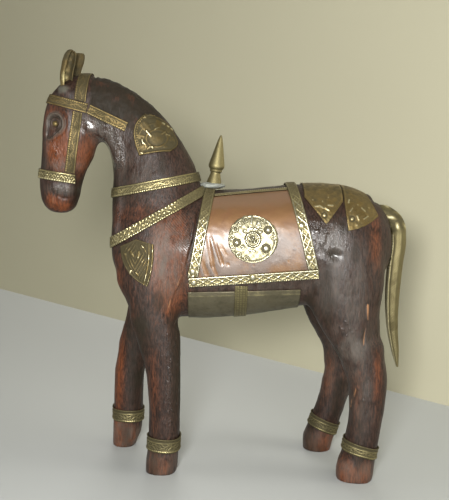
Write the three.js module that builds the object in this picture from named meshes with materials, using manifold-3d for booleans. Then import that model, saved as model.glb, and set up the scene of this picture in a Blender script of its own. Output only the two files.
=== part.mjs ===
// A carved wooden horse that stands on its four hooves, dressed in embossed brass and copper sheet.
// Millimetres, +Z up. The head points along -Y and the horse's left side faces +X.
import * as THREE from "three";
import { mergeVertices } from "three/addons/utils/BufferGeometryUtils.js";
import Module from "manifold-3d";

const wasm = await Module();
wasm.setup();

// ---- Driving dimensions ----

const GAP = 0.3; // clearance between pieces that lie on each other
const SHEET = 0.7; // thickness of plates and straps
const STRAP = 4.2; // width of the bridle straps and collars
const CROWN_STRAP = 5.2; // width of the strap behind the ears
const HALF_SPAN = 60; // reach of a cutting shape to each side of the middle plane
const UNDER_BELLY = 40; // height of a cutting shape's end in the open under the belly
const OVER_BACK = 140; // height of a cutting shape's end in the open over the back
const FORE_X = 15.5; // middle of each fore foot from the middle plane
const HIND_X = 17.5; // middle of each hind foot from the middle plane
const SIDES = { left: 1, right: -1 };

// Roundness of a section: 2 is an oval, and more is squarer.
const TRUNK_SQUARE = 2.35;
const LIMB_SQUARE = 2.2;
const LEG_SIDES = 12;

// Each limb is a row of oval sections from one end to the other. A section gives the y and z of its
// middle, the tilt in degrees of its long axis from +Y towards +Z, half its depth along that axis,
// half its width along X, and the x of its middle.
const TRUNK = [
  [73.0, 101.0, 90, 7.0, 7.5, 0],
  [71.5, 101.4, 90, 12.0, 12.0, 0],
  [68.0, 101.6, 90, 16.6, 15.8, 0],
  [62.0, 101.2, 90, 21.6, 19.2, 0],
  [54.0, 100.8, 90, 25.3, 21.2, 0],
  [42.0, 100.4, 90, 26.8, 21.8, 0],
  [28.0, 99.0, 90, 27.6, 22.0, 0],
  [12.0, 96.4, 90, 28.0, 22.4, 0],
  [-6.0, 94.8, 90, 28.4, 22.5, 0],
  [-22.0, 94.1, 90, 28.3, 22.4, 0],
  [-34.0, 94.4, 90, 27.0, 21.4, 0],
  [-42.0, 95.6, 90, 24.0, 19.2, 0],
  [-47.0, 98.0, 90, 19.0, 16.0, 0],
  [-49.3, 99.6, 90, 12.4, 11.0, 0],
];
const NECK = [
  [-29.5, 102.0, 0, 20.4, 20.0, 0],
  [-30.2, 113.0, 4, 20.2, 17.8, 0],
  [-31.0, 123.6, 11, 19.8, 15.2, 0],
  [-35.0, 136.0, 26, 16.8, 12.6, 0],
  [-41.2, 147.4, 43, 14.2, 11.2, 0],
  [-49.0, 154.6, 64, 12.8, 10.4, 0],
  [-58.0, 157.8, 84, 13.4, 9.8, 0],
  [-66.6, 158.6, 96, 12.2, 9.2, 0],
  [-75.6, 156.6, 108, 6.6, 6.8, 0],
];
const HEAD = [
  [-73.4, 111.2, 0, 3.2, 3.0, 0],
  [-73.6, 112.8, 0, 6.0, 5.2, 0],
  [-73.7, 116.4, 0, 8.0, 6.8, 0],
  [-73.6, 121.6, 0, 9.2, 7.4, 0],
  [-72.8, 128.0, 0, 9.8, 7.8, 0],
  [-70.6, 135.4, 0, 11.2, 8.6, 0],
  [-69.2, 143.0, 0, 12.4, 9.4, 0],
  [-69.0, 150.6, 0, 12.3, 9.6, 0],
  [-69.2, 157.0, 0, 11.0, 9.2, 0],
  [-69.0, 162.6, 0, 8.2, 8.0, 0],
];
const LEFT_FORELEG = [
  [-25.3, -0.5, 0, 6.0, 6.2, FORE_X],
  [-25.2, 0.9, 0, 7.0, 7.0, FORE_X],
  [-24.8, 4.2, 0, 7.1, 7.1, FORE_X],
  [-24.1, 11.0, 0, 6.8, 6.9, FORE_X],
  [-24.0, 30.0, 0, 6.8, 6.9, FORE_X],
  [-25.2, 46.0, 0, 7.8, 7.3, FORE_X],
  [-27.8, 60.0, 0, 9.8, 8.0, 15.2],
  [-31.4, 73.0, 0, 11.4, 8.7, 14.8],
  [-32.4, 86.0, 0, 15.6, 9.4, 14.2],
  [-31.2, 98.0, 0, 15.4, 8.6, 13.8],
  [-30.0, 106.0, 0, 11.0, 6.0, 13.0],
];
const RIGHT_FORELEG = [
  [-45.6, -0.5, 0, 4.7, 6.2, -FORE_X],
  [-45.3, 1.1, 0, 5.7, 7.0, -FORE_X],
  [-44.3, 5.6, 0, 6.7, 7.1, -FORE_X],
  [-43.8, 12.0, 0, 7.0, 6.9, -FORE_X],
  [-43.7, 34.0, 0, 7.0, 6.9, -FORE_X],
  [-40.8, 50.0, 0, 7.8, 7.3, -FORE_X],
  [-36.8, 61.0, 0, 9.0, 8.0, -15.2],
  [-34.4, 73.0, 0, 11.2, 8.7, -14.8],
  [-33.6, 86.0, 0, 14.8, 9.4, -14.2],
  [-32.2, 98.0, 0, 15.0, 8.6, -13.8],
  [-31.0, 106.0, 0, 11.0, 6.0, -13.0],
];
const LEFT_HIND_LEG = [
  [60.2, -0.5, 0, 7.0, 6.4, HIND_X],
  [59.6, 1.1, 0, 8.4, 7.2, HIND_X],
  [59.9, 4.5, 0, 8.4, 7.4, HIND_X],
  [61.5, 12.0, 0, 7.4, 7.1, HIND_X],
  [63.8, 27.0, 0, 7.3, 7.0, HIND_X],
  [63.9, 42.0, 0, 8.6, 7.5, 16.8],
  [60.6, 54.0, 0, 10.2, 8.2, 16.0],
  [56.6, 64.0, 0, 13.2, 8.9, 15.0],
  [52.6, 76.0, 0, 16.6, 9.6, 14.2],
  [52.2, 90.0, 0, 17.6, 9.8, 13.4],
  [52.8, 103.0, 0, 15.8, 8.8, 12.8],
  [53.0, 112.0, 0, 12.0, 6.0, 12.0],
];
const RIGHT_HIND_LEG = [
  [47.6, -0.5, 0, 5.8, 6.4, -HIND_X],
  [47.3, 1.1, 0, 7.1, 7.2, -HIND_X],
  [47.9, 4.5, 0, 7.4, 7.4, -HIND_X],
  [50.4, 12.0, 0, 7.1, 7.1, -HIND_X],
  [54.3, 25.0, 0, 6.9, 7.0, -HIND_X],
  [57.4, 38.0, 0, 7.8, 7.5, -16.9],
  [57.5, 50.0, 0, 9.2, 8.2, -16.2],
  [53.6, 62.0, 0, 12.6, 8.9, -15.2],
  [51.2, 76.0, 0, 16.6, 9.6, -14.2],
  [51.6, 90.0, 0, 17.4, 9.8, -13.4],
  [52.6, 103.0, 0, 15.6, 8.8, -12.8],
  [53.0, 112.0, 0, 12.0, 6.0, -12.0],
];
const TAIL = [
  [80.3, 45.2, 0, 0.7, 0.8, 0],
  [79.1, 52.0, 0, 1.6, 1.4, 0],
  [77.6, 60.0, 0, 2.3, 1.9, 0],
  [76.6, 69.0, 0, 2.8, 2.4, 0],
  [76.3, 81.0, 0, 3.3, 2.9, 0],
  [76.8, 93.0, 0, 3.5, 3.2, 0],
  [77.4, 103.0, 8, 3.7, 3.4, 0],
  [76.0, 110.6, 38, 3.8, 3.5, 0],
  [71.6, 114.4, 62, 3.8, 3.5, 0],
  [66.0, 115.6, 84, 3.6, 3.2, 0],
];
const TAIL_SIDES = 10;
const EAR = [
  [-70.6, 165.0, -20, 2.4, 1.6, 0],
  [-70.0, 169.5, -16, 2.9, 2.0, 0],
  [-68.7, 174.0, -14, 3.0, 2.1, 0],
  [-67.4, 178.4, -14, 2.2, 1.6, 0],
  [-66.6, 181.2, -14, 0.9, 0.8, 0],
];
const EAR_X = 5.6;
const EAR_WALL = 0.9;
const EAR_SIDES = 10;
const THINNEST = 0.3; // the least half depth and half width of an ear's hollow
const RIGHT_EAR_LEAN = 0.03; // the right ear leans back by this much for each unit of height

const EYE = { x: 8.1, y: -73.9, z: 149.6, radius: 1.2 };

// Side outlines, as y and z.
const BROWBAND = { from: [-84, 161.75], to: [-60.4, 156.45] };
const NOSEBAND = { from: [-86, 128.7], to: [-65.8, 126.07] };
const CHEEK_STRAP = { from: [-64.4, 154.9], to: [-68.2, 128.6] };
const THROAT_STRAP = { from: [-59.8, 156.2], to: [-43.4, 149.0] };
const CROWNPIECE = { from: [-61.5, 180], to: [-63.4, 159.9] };
const NECK_COLLAR = { from: [-56, 119.3], to: [-4, 130.6] };
const BREAST_COLLAR = { from: [-58, 94.2], to: [2, 129.9] };

// Outlines of plates. An entry is a corner, or a curve's handle followed by the corner it ends at.
const NECK_PLATE = [
  [-36.1, 154.1],
  [-43.2, 147.6, -37.4, 136.9],
  [-31.0, 138.9, -24.3, 139.2],
  [-19.6, 141.2, -23.3, 146.3],
  [-28.9, 152.2, -36.1, 154.1],
];
const BREAST_PLATE = [
  [-43.8, 98.4],
  [-37.3, 101.2],
  [-30.6, 99.2],
  [-29.6, 91.0, -33.1, 81.9],
  [-43.6, 86.6, -43.8, 98.4],
];
const FRONT_RUMP_PLATE = [
  [33.2, OVER_BACK],
  [33.2, 121.6],
  [42.5, 109.6],
  [49.6, 120.2],
  [49.6, OVER_BACK],
];
const REAR_RUMP_PLATE = [
  [50.2, OVER_BACK],
  [50.2, 119],
  [52.2, 107.4],
  [59.4, 108.6, 64.9, 113.6],
  [60.6, 124],
  [60.6, OVER_BACK],
];

const SADDLE = {
  frontTop: [-7.1, 123],
  frontBottom: [-12.9, 87.6],
  rearTop: [27.9, 127],
  rearBottom: [37.4, 92.3],
  strip: 4.5,
  overhang: 6, // how far the outline of a strip runs on above the spine
  lowerFront: [-14.6, 84.6],
  lowerRear: [39.9, 89.8],
  upperFront: [-9, 120.3],
  upperRear: [30, 124.9],
  beadedStrip: 1.3,
};
const MEDALLION = { y: 11.7, z: 103.8, radius: 10.6, boss: 3.1 };
const BELLY_SHEET = { front: -15, rear: 33, topFront: 80.2, topRear: 82.4 };
const GIRTH = { y: 7.6, width: 5.3, top: 83.6 };

const FINIAL = { y: -5.7, z: 125.0, lean: 7, sides: 14 };
// The finial's outline from its foot to its tip, as radius and height.
const FINIAL_PROFILE = [
  [4.0, 0],
  [3.8, 1.0],
  [2.2, 5.4],
  [2.3, 6.2],
  [3.5, 8.2],
  [3.4, 9.6],
  [2.3, 14.5],
  [1.1, 20.0],
  [0.5, 22.0],
];
const FINIAL_TIP = 22.4;
const BLOB = { y: -6.3, z: 124.3, length: 5.2, width: 4.6, height: 2.5 };

const ANKLETS = {
  left_fore: { leg: LEFT_FORELEG, z: 12.8, tilt: 0, height: 6.1 },
  right_fore: { leg: RIGHT_FORELEG, z: 14.8, tilt: -3, height: 5.8 },
  left_hind: { leg: LEFT_HIND_LEG, z: 13.7, tilt: -14, height: 4.9 },
  right_hind: { leg: RIGHT_HIND_LEG, z: 12.1, tilt: -20, height: 5.6 },
};
const ANKLET = { clearance: 0.3, rim: 1.1, proud: 0.3, reach: 2 };

const WOOD = { color: 0x4a2a20, roughness: 0.35, metalness: 0 };
const BRASS = { color: 0xa08c48, roughness: 0.35, metalness: 0.9 };
const COPPER = { color: 0xa86a48, roughness: 0.3, metalness: 0.9 };
const DARK_BRASS = { color: 0x5a5238, roughness: 0.45, metalness: 0.8 };
const SOLDER = { color: 0x83887f, roughness: 0.5, metalness: 0.6 };

// ---- Solids ----

// The solid inside a closed geometry.
function solid(geometry) {
  const bare = geometry.clone();
  bare.deleteAttribute("uv");
  bare.deleteAttribute("normal");
  const merged = mergeVertices(bare);
  return new wasm.Manifold(
    new wasm.Mesh({
      numProp: 3,
      vertProperties: merged.getAttribute("position").array,
      triVerts: new Uint32Array(merged.index.array),
    }),
  );
}

// Sections between the given ones, on a smooth curve through them.
function smoothSections(sections, steps) {
  const along = [0];
  for (let i = 1; i < sections.length; i += 1) {
    const [y0, z0] = sections[i - 1];
    const [y1, z1] = sections[i];
    along.push(along[i - 1] + Math.hypot(y1 - y0, z1 - z0));
  }
  const curve = new THREE.CubicInterpolant(along, sections.flat(), sections[0].length);
  const result = [];
  for (let i = 1; i < along.length; i += 1) {
    for (let k = 0; k < steps; k += 1) {
      const place = along[i - 1] + ((along[i] - along[i - 1]) * k) / steps;
      result.push([...curve.evaluate(place)]);
    }
  }
  result.push(sections.at(-1));
  return result;
}

// A limb's closed skin through its sections, moved outwards by grow.
function limb({ sections, sides, square, steps = 1 }, grow = 0) {
  const rings = smoothSections(sections, steps);
  const positions = [];
  rings.forEach(([y, z, tilt, depth, width, x], i) => {
    const angle = THREE.MathUtils.degToRad(tilt);
    const along = new THREE.Vector3(0, -Math.sin(angle), Math.cos(angle));
    const deep = new THREE.Vector3(0, Math.cos(angle), Math.sin(angle));
    const before = rings[Math.max(i - 1, 0)];
    const after = rings[Math.min(i + 1, rings.length - 1)];
    const widening = (after[3] + after[4] - before[3] - before[4]) / 2;
    const length = Math.hypot(after[0] - before[0], after[1] - before[1]);
    let shift = (-grow * widening) / Math.hypot(widening, length);
    if (i === 0) shift = -grow;
    if (i === rings.length - 1) shift = grow;
    const middle = new THREE.Vector3(x, y, z).addScaledVector(along, shift);
    for (let k = 0; k < sides; k += 1) {
      const turn = (2 * Math.PI * (k + 0.5)) / sides;
      const across = Math.sign(Math.cos(turn)) * Math.abs(Math.cos(turn)) ** (2 / square);
      const upward = Math.sign(Math.sin(turn)) * Math.abs(Math.sin(turn)) ** (2 / square);
      const point = middle.clone();
      point.addScaledVector(deep, (depth + grow) * upward);
      point.x += (width + grow) * across;
      positions.push(...point);
    }
    if (i === 0 || i === rings.length - 1) positions.push(...middle);
  });
  return solid(closedSkin(positions, rings.length, sides));
}

// The faces between rings of points. The first and the last ring end with their middle point.
function closedSkin(positions, ringCount, sides) {
  const start = (ring) => (ring === 0 ? 0 : ring * sides + 1);
  const index = [];
  for (let k = 0; k < sides; k += 1) {
    const next = (k + 1) % sides;
    index.push(sides, next, k);
    for (let ring = 1; ring < ringCount; ring += 1) {
      const low = start(ring - 1);
      const high = start(ring);
      index.push(low + k, low + next, high + next);
      index.push(low + k, high + next, high + k);
    }
    const top = start(ringCount - 1);
    index.push(top + k, top + next, top + sides);
  }
  const geometry = new THREE.BufferGeometry();
  geometry.setAttribute("position", new THREE.Float32BufferAttribute(positions, 3));
  geometry.setIndex(index);
  return geometry;
}

// A side outline in y and z, run along X: over one side of the horse, or right across it.
function cutter(outline, side) {
  const depth = side ? HALF_SPAN : 2 * HALF_SPAN;
  const geometry = new THREE.ExtrudeGeometry(outline, { depth, bevelEnabled: false, curveSegments: 6 });
  geometry.translate(0, 0, side === SIDES.left ? 0 : -HALF_SPAN);
  const yAxis = new THREE.Vector3(0, 1, 0);
  const zAxis = new THREE.Vector3(0, 0, 1);
  const xAxis = new THREE.Vector3(1, 0, 0);
  geometry.applyMatrix4(new THREE.Matrix4().makeBasis(yAxis, zAxis, xAxis));
  return solid(geometry);
}

function polygon(...points) {
  return new THREE.Shape(points.map(([y, z]) => new THREE.Vector2(y, z)));
}

// A plate's outline from its corners and curve handles.
function plateOutline(entries) {
  const outline = new THREE.Shape();
  for (const entry of entries) {
    if (entry.length === 4) outline.quadraticCurveTo(...entry);
    else if (entry === entries[0]) outline.moveTo(...entry);
    else outline.lineTo(...entry);
  }
  return outline;
}

// A straight band between two points.
function band({ from, to }, width) {
  const start = new THREE.Vector2(...from);
  const end = new THREE.Vector2(...to);
  const across = end.clone().sub(start).normalize().rotateAround(new THREE.Vector2(), Math.PI / 2);
  across.multiplyScalar(width / 2);
  return new THREE.Shape([
    start.clone().sub(across),
    end.clone().sub(across),
    end.clone().add(across),
    start.clone().add(across),
  ]);
}

// ---- The carved body, also grown outwards to give the sheet that lies on it ----

const LIMBS = [
  { sections: TRUNK, sides: 20, square: TRUNK_SQUARE },
  { sections: NECK, sides: 16, square: LIMB_SQUARE, steps: 2 },
  { sections: HEAD, sides: 16, square: LIMB_SQUARE },
  { sections: LEFT_FORELEG, sides: LEG_SIDES, square: LIMB_SQUARE },
  { sections: RIGHT_FORELEG, sides: LEG_SIDES, square: LIMB_SQUARE },
  { sections: LEFT_HIND_LEG, sides: LEG_SIDES, square: LIMB_SQUARE },
  { sections: RIGHT_HIND_LEG, sides: LEG_SIDES, square: LIMB_SQUARE },
];
const grownBodies = new Map();

function bodyGrown(grow) {
  if (!grownBodies.has(grow)) {
    const limbs = LIMBS.map((one) => limb(one, grow));
    grownBodies.set(grow, limbs.reduce((whole, one) => whole.add(one)));
  }
  return grownBodies.get(grow);
}

const SKIN = { bottom: GAP, top: GAP + SHEET };
const OVER_SKIN = { bottom: 2 * GAP + SHEET, top: 2 * GAP + 2 * SHEET };

// Sheet metal that follows the body inside the cutting shape.
function sheet(shape, { bottom, top } = SKIN) {
  return bodyGrown(top).intersect(shape).subtract(bodyGrown(bottom));
}

// ---- Pieces ----

const horse = new THREE.Group();

function addPiece(name, shape, finish) {
  const { vertProperties, triVerts } = shape.getMesh();
  const geometry = new THREE.BufferGeometry();
  geometry.setAttribute("position", new THREE.BufferAttribute(vertProperties, 3));
  geometry.setIndex(new THREE.BufferAttribute(triVerts, 1));
  geometry.computeVertexNormals();
  const mesh = new THREE.Mesh(geometry, new THREE.MeshStandardMaterial(finish));
  mesh.name = name;
  horse.add(mesh);
}

function addPair(name, make, finish) {
  for (const [side, sign] of Object.entries(SIDES)) {
    addPiece(`${name}_${side}`, make(sign), finish);
  }
}

// A cupped leaf that opens outwards.
function ear(side) {
  const lean = side === SIDES.right ? RIGHT_EAR_LEAN : 0;
  const place = ([y, z, tilt, depth, width], thinner, outwards) => [
    y + lean * (z - EAR[0][1]),
    z,
    tilt,
    Math.max(depth - thinner, THINNEST),
    Math.max(width - thinner, THINNEST),
    side * (EAR_X + outwards),
  ];
  const leaf = EAR.map((section) => place(section, 0, 0));
  const hollow = EAR.map((section) => place(section, EAR_WALL, 2 * EAR_WALL));
  const outside = limb({ sections: leaf, sides: EAR_SIDES, square: 2 });
  const inside = limb({ sections: hollow, sides: EAR_SIDES, square: 2 });
  return outside.subtract(inside).subtract(bodyGrown(GAP));
}

function eyeStud(side) {
  const dome = new THREE.SphereGeometry(EYE.radius, 10, 6);
  dome.translate(side * (EYE.x + GAP), EYE.y, EYE.z);
  return solid(dome).subtract(bodyGrown(GAP));
}

// The breast collar's two ends meet the front edge of the saddle.
function breastCollar() {
  const { frontTop, frontBottom, strip } = SADDLE;
  const lean = (frontTop[0] - frontBottom[0]) / (frontTop[1] - frontBottom[1]);
  const front = strip / 2 + GAP;
  const edge = (z) => [frontTop[0] + lean * (z - frontTop[1]) - front * Math.hypot(1, lean), z];
  const { rearTop } = SADDLE;
  const saddle = polygon(
    edge(UNDER_BELLY),
    [rearTop[0], UNDER_BELLY],
    [rearTop[0], OVER_BACK],
    edge(OVER_BACK),
  );
  return sheet(cutter(band(BREAST_COLLAR, STRAP)).subtract(cutter(saddle)));
}

// The straight line through two points, read at y.
function heightOn([y0, z0], [y1, z1], y) {
  return z0 + ((z1 - z0) * (y - y0)) / (y1 - y0);
}

// A saddle strip runs over the back, from just above the lower strip on one side to the other.
function saddleStrip(top, bottom) {
  const lean = (top[0] - bottom[0]) / (top[1] - bottom[1]);
  const crown = [top[0] + lean * SADDLE.overhang, top[1] + SADDLE.overhang];
  const outline = band({ from: bottom, to: crown }, SADDLE.strip);
  return sheet(cutter(outline).subtract(belowLowerStrip()));
}

function belowLowerStrip() {
  const rise = STRAP / 2 + GAP;
  const { lowerFront, lowerRear } = SADDLE;
  return cutter(
    polygon(
      [lowerFront[0] - STRAP, heightOn(lowerFront, lowerRear, lowerFront[0] - STRAP) + rise],
      [lowerFront[0] - STRAP, UNDER_BELLY],
      [lowerRear[0] + STRAP, UNDER_BELLY],
      [lowerRear[0] + STRAP, heightOn(lowerFront, lowerRear, lowerRear[0] + STRAP) + rise],
    ),
  );
}

function lowerStrip(side) {
  return sheet(cutter(band({ from: SADDLE.lowerFront, to: SADDLE.lowerRear }, STRAP), side));
}

// The space between the front and the rear strip, between two heights that run with the saddle.
function betweenStrips(fromRise, toRise, reference) {
  const inset = SADDLE.strip / 2 + GAP;
  const edge = (top, bottom, sign, rise) => {
    const lean = (top[0] - bottom[0]) / (top[1] - bottom[1]);
    let y = bottom[0] + sign * inset;
    let z = 0;
    for (let pass = 0; pass < 4; pass += 1) {
      z = heightOn(...reference, y) + rise;
      y = bottom[0] + lean * (z - bottom[1]) + sign * inset * Math.hypot(1, lean);
    }
    return [y, z];
  };
  return polygon(
    edge(SADDLE.frontTop, SADDLE.frontBottom, 1, fromRise),
    edge(SADDLE.rearTop, SADDLE.rearBottom, -1, fromRise),
    edge(SADDLE.rearTop, SADDLE.rearBottom, -1, toRise),
    edge(SADDLE.frontTop, SADDLE.frontBottom, 1, toRise),
  );
}

const UPPER_EDGE = [SADDLE.upperFront, SADDLE.upperRear];

function upperStrip(side) {
  return sheet(cutter(betweenStrips(-SADDLE.beadedStrip, 0, UPPER_EDGE), side));
}

function saddlePanel(side) {
  const deep = SADDLE.upperFront[1] - SADDLE.lowerFront[1] + STRAP;
  const outline = betweenStrips(-deep, -SADDLE.beadedStrip - GAP, UPPER_EDGE);
  return sheet(cutter(outline, side).subtract(belowLowerStrip()));
}

// A disc on the copper panel, with a boss raised from it.
function medallion(side) {
  const disc = (radius) => {
    const outline = new THREE.Shape();
    outline.absarc(MEDALLION.y, MEDALLION.z, radius, 0, 2 * Math.PI);
    return cutter(outline, side);
  };
  const raised = { bottom: OVER_SKIN.bottom, top: OVER_SKIN.top + SHEET };
  return sheet(disc(MEDALLION.radius), OVER_SKIN).add(sheet(disc(MEDALLION.boss), raised));
}

function bellySheet() {
  const { front, rear, topFront, topRear } = BELLY_SHEET;
  const outline = polygon(
    [front, UNDER_BELLY],
    [rear, UNDER_BELLY],
    [rear, topRear],
    [front, topFront],
  );
  return sheet(cutter(outline));
}

function girthStrap() {
  const { y, width, top } = GIRTH;
  const outline = polygon(
    [y - width / 2, UNDER_BELLY],
    [y + width / 2, UNDER_BELLY],
    [y + width / 2, top],
    [y - width / 2, top],
  );
  return sheet(cutter(outline), OVER_SKIN);
}

// The noseband runs round the front of the muzzle and ends on each cheek.
function noseband() {
  const [endY, endZ] = NOSEBAND.to;
  const front = polygon(
    [NOSEBAND.from[0], endZ - 2 * STRAP],
    [endY, endZ - 2 * STRAP],
    [endY, endZ + 2 * STRAP],
    [NOSEBAND.from[0], endZ + 2 * STRAP],
  );
  return sheet(cutter(band(NOSEBAND, STRAP)).intersect(cutter(front)));
}

// A cheek strap fills the space between the browband and the noseband.
function cheekStrap(side) {
  const brow = cutter(band(BROWBAND, STRAP + 2 * GAP));
  const nose = cutter(band(NOSEBAND, STRAP + 2 * GAP));
  return sheet(cutter(band(CHEEK_STRAP, STRAP), side).subtract(brow).subtract(nose));
}

// The space on the far side of a band's lower edge, with a gap to the band.
function belowBand({ from, to }) {
  const drop = STRAP / 2 + GAP;
  const reach = 2 * STRAP;
  return cutter(
    polygon(
      [from[0] - reach, from[1] + drop],
      [from[0] - reach, UNDER_BELLY],
      [to[0] + reach, UNDER_BELLY],
      [to[0] + reach, to[1] + drop],
    ),
  );
}

// The crownpiece goes over the poll and ends on each side above the browband.
function crownpiece() {
  return sheet(cutter(band(CROWNPIECE, CROWN_STRAP)).subtract(belowBand(BROWBAND)));
}

// The neck collar stops where it meets the breast collar at the withers.
function neckCollar() {
  return sheet(cutter(band(NECK_COLLAR, STRAP)).subtract(belowBand(BREAST_COLLAR)));
}

// A turned cone on a narrow neck and a flared foot.
function finial(grow) {
  const { y, z, lean, sides } = FINIAL;
  const foot = -2 * grow;
  const points = [new THREE.Vector2(0, foot), new THREE.Vector2(FINIAL_PROFILE[0][0] + grow, foot)];
  for (const [radius, rise] of FINIAL_PROFILE.slice(1)) {
    points.push(new THREE.Vector2(radius + grow, rise));
  }
  points.push(new THREE.Vector2(0, FINIAL_TIP + grow));
  const turned = new THREE.LatheGeometry(points, sides);
  turned.rotateX(Math.PI / 2 - THREE.MathUtils.degToRad(lean));
  turned.translate(0, y, z);
  return solid(turned);
}

function solderBlob() {
  const lump = new THREE.SphereGeometry(1, 10, 6);
  lump.scale(BLOB.width, BLOB.length, BLOB.height);
  lump.translate(0, BLOB.y, BLOB.z);
  return solid(lump).subtract(bodyGrown(OVER_SKIN.bottom)).subtract(finial(GAP));
}

// The tail comes out of the croup and hangs free.
function tail() {
  return limb({ sections: TAIL, sides: TAIL_SIDES, square: 2 }).subtract(bodyGrown(GAP));
}

// The leg's section at height z, between the two given sections round it.
function legSection(leg, z) {
  const high = leg.findIndex((section) => section[1] > z);
  const share = (z - leg[high - 1][1]) / (leg[high][1] - leg[high - 1][1]);
  return leg[high].map((value, i) => THREE.MathUtils.lerp(leg[high - 1][i], value, share));
}

// A band round the leg with a rim standing out at its top. The band is a short limb of its own whose
// sections tilt with it.
function anklet({ leg, z, tilt, height }) {
  const ring = (rise, proud) => {
    const [y, level, , depth, width, x] = legSection(leg, z + rise);
    return [y, level, tilt, depth + proud, width + proud, x];
  };
  const tube = (rings) => limb({ sections: rings, sides: LEG_SIDES, square: LIMB_SQUARE });
  const inner = ANKLET.clearance;
  const outer = inner + SHEET;
  const half = height / 2;
  const rimFoot = half - ANKLET.rim;
  const outside = tube([
    ring(-half, outer),
    ring(rimFoot - ANKLET.rim / 2, outer),
    ring(rimFoot, outer + ANKLET.proud),
    ring(half, outer + ANKLET.proud),
  ]);
  const end = half + ANKLET.reach;
  return outside.subtract(tube([ring(-end, inner), ring(0, inner), ring(end, inner)]));
}

addPiece("horse_body", bodyGrown(0), WOOD);
addPair("ear", ear, BRASS);
addPair("eye_stud", eyeStud, BRASS);
addPiece("browband", sheet(cutter(band(BROWBAND, STRAP))), BRASS);
addPiece("crownpiece", crownpiece(), BRASS);
addPiece("noseband", noseband(), BRASS);
addPair("cheek_strap", cheekStrap, BRASS);
addPair("throat_strap", (side) => sheet(cutter(band(THROAT_STRAP, STRAP), side)), BRASS);
addPair("neck_plate", (side) => sheet(cutter(plateOutline(NECK_PLATE), side)), BRASS);
addPiece("neck_collar", neckCollar(), BRASS);
addPiece("breast_collar", breastCollar(), BRASS);
addPair("breast_plate", (side) => sheet(cutter(plateOutline(BREAST_PLATE), side)), BRASS);
addPiece("pommel_finial", finial(0), BRASS);
addPiece("solder_blob", solderBlob(), SOLDER);
addPiece("front_saddle_strip", saddleStrip(SADDLE.frontTop, SADDLE.frontBottom), BRASS);
addPiece("rear_saddle_strip", saddleStrip(SADDLE.rearTop, SADDLE.rearBottom), BRASS);
addPair("saddle_panel", saddlePanel, COPPER);
addPair("medallion", medallion, BRASS);
addPair("lower_saddle_strip", lowerStrip, BRASS);
addPair("upper_saddle_strip", upperStrip, BRASS);
addPiece("belly_sheet", bellySheet(), DARK_BRASS);
addPiece("girth_strap", girthStrap(), BRASS);
addPiece("front_rump_plate", sheet(cutter(plateOutline(FRONT_RUMP_PLATE))), BRASS);
addPiece("rear_rump_plate", sheet(cutter(plateOutline(REAR_RUMP_PLATE))), BRASS);
addPiece("tail", tail(), BRASS);
for (const [foot, size] of Object.entries(ANKLETS)) {
  addPiece(`anklet_${foot}`, anklet(size), BRASS);
}

// The origin is the middle of the underside of the whole object's box.
const box = new THREE.Box3().setFromObject(horse);
const middle = box.getCenter(new THREE.Vector3());
horse.position.set(-middle.x, -middle.y, -box.min.z);

export default horse;
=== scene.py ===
"""A carved and varnished wooden horse, dressed in embossed brass and copper sheet."""

import functools
import math
from dataclasses import dataclass

import bmesh
import bpy
import numpy as np
from bpy.props import FloatProperty, FloatVectorProperty, PointerProperty
from mathutils import Matrix, Vector
from mathutils.bvhtree import BVHTree


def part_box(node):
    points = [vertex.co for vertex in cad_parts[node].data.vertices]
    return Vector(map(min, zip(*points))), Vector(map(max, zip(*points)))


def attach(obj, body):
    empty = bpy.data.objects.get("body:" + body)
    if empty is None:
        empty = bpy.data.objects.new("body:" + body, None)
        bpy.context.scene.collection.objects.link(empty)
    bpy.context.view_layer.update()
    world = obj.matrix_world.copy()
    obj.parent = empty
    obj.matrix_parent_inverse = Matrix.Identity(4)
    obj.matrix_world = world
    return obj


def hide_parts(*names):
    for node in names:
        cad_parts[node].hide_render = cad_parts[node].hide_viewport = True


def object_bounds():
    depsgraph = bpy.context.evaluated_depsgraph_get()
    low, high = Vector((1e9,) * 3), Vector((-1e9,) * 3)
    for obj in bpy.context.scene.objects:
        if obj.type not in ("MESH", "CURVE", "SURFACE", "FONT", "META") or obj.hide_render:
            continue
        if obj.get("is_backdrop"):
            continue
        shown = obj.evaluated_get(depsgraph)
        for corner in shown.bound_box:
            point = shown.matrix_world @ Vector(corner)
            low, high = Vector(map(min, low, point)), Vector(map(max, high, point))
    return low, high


bl_info = {
    "name": "Brass-dressed wooden horse",
    "version": (1, 0, 0),
    "blender": (4, 5, 0),
    "location": "3D View > Sidebar > Wooden Horse",
    "description": "Builds a varnished wooden horse with embossed brass and copper sheet",
    "category": "Object",
}

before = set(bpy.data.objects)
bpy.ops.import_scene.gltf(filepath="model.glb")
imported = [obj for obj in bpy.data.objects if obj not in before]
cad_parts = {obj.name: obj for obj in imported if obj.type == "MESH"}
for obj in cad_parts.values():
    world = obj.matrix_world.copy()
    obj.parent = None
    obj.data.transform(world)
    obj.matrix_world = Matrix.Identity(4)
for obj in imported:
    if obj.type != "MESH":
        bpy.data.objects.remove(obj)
CAD_BOX = [list(corner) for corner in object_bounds()]

# ---- The drawing ----
# Places are in millimetres on the maker's drawing: y to the tail, z up, and x to the horse's left.
# The drawing's origin comes from two pieces whose places on it are known.

MM = 0.001
SOLE_Z = -0.5
BELLY_FRONT = -15.0
BELLY_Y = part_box("belly_sheet")[0].y - BELLY_FRONT * MM
SOLES_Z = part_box("horse_body")[0].z - SOLE_Z * MM
ORIGIN = np.array([0.0, BELLY_Y, SOLES_Z])

STRAP = 4.2
CROWN_STRAP = 5.2
SADDLE_STRIP = 4.5
GAP = 0.3

# Walls of the sheet, in millimetres.
SHEET = 0.45
EAR_SHEET = 0.5
THIN = 0.4
GIRTH_SHEET = 0.35
BELLY_SHEET = 0.3
COPPER_SHEET = 0.25

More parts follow.
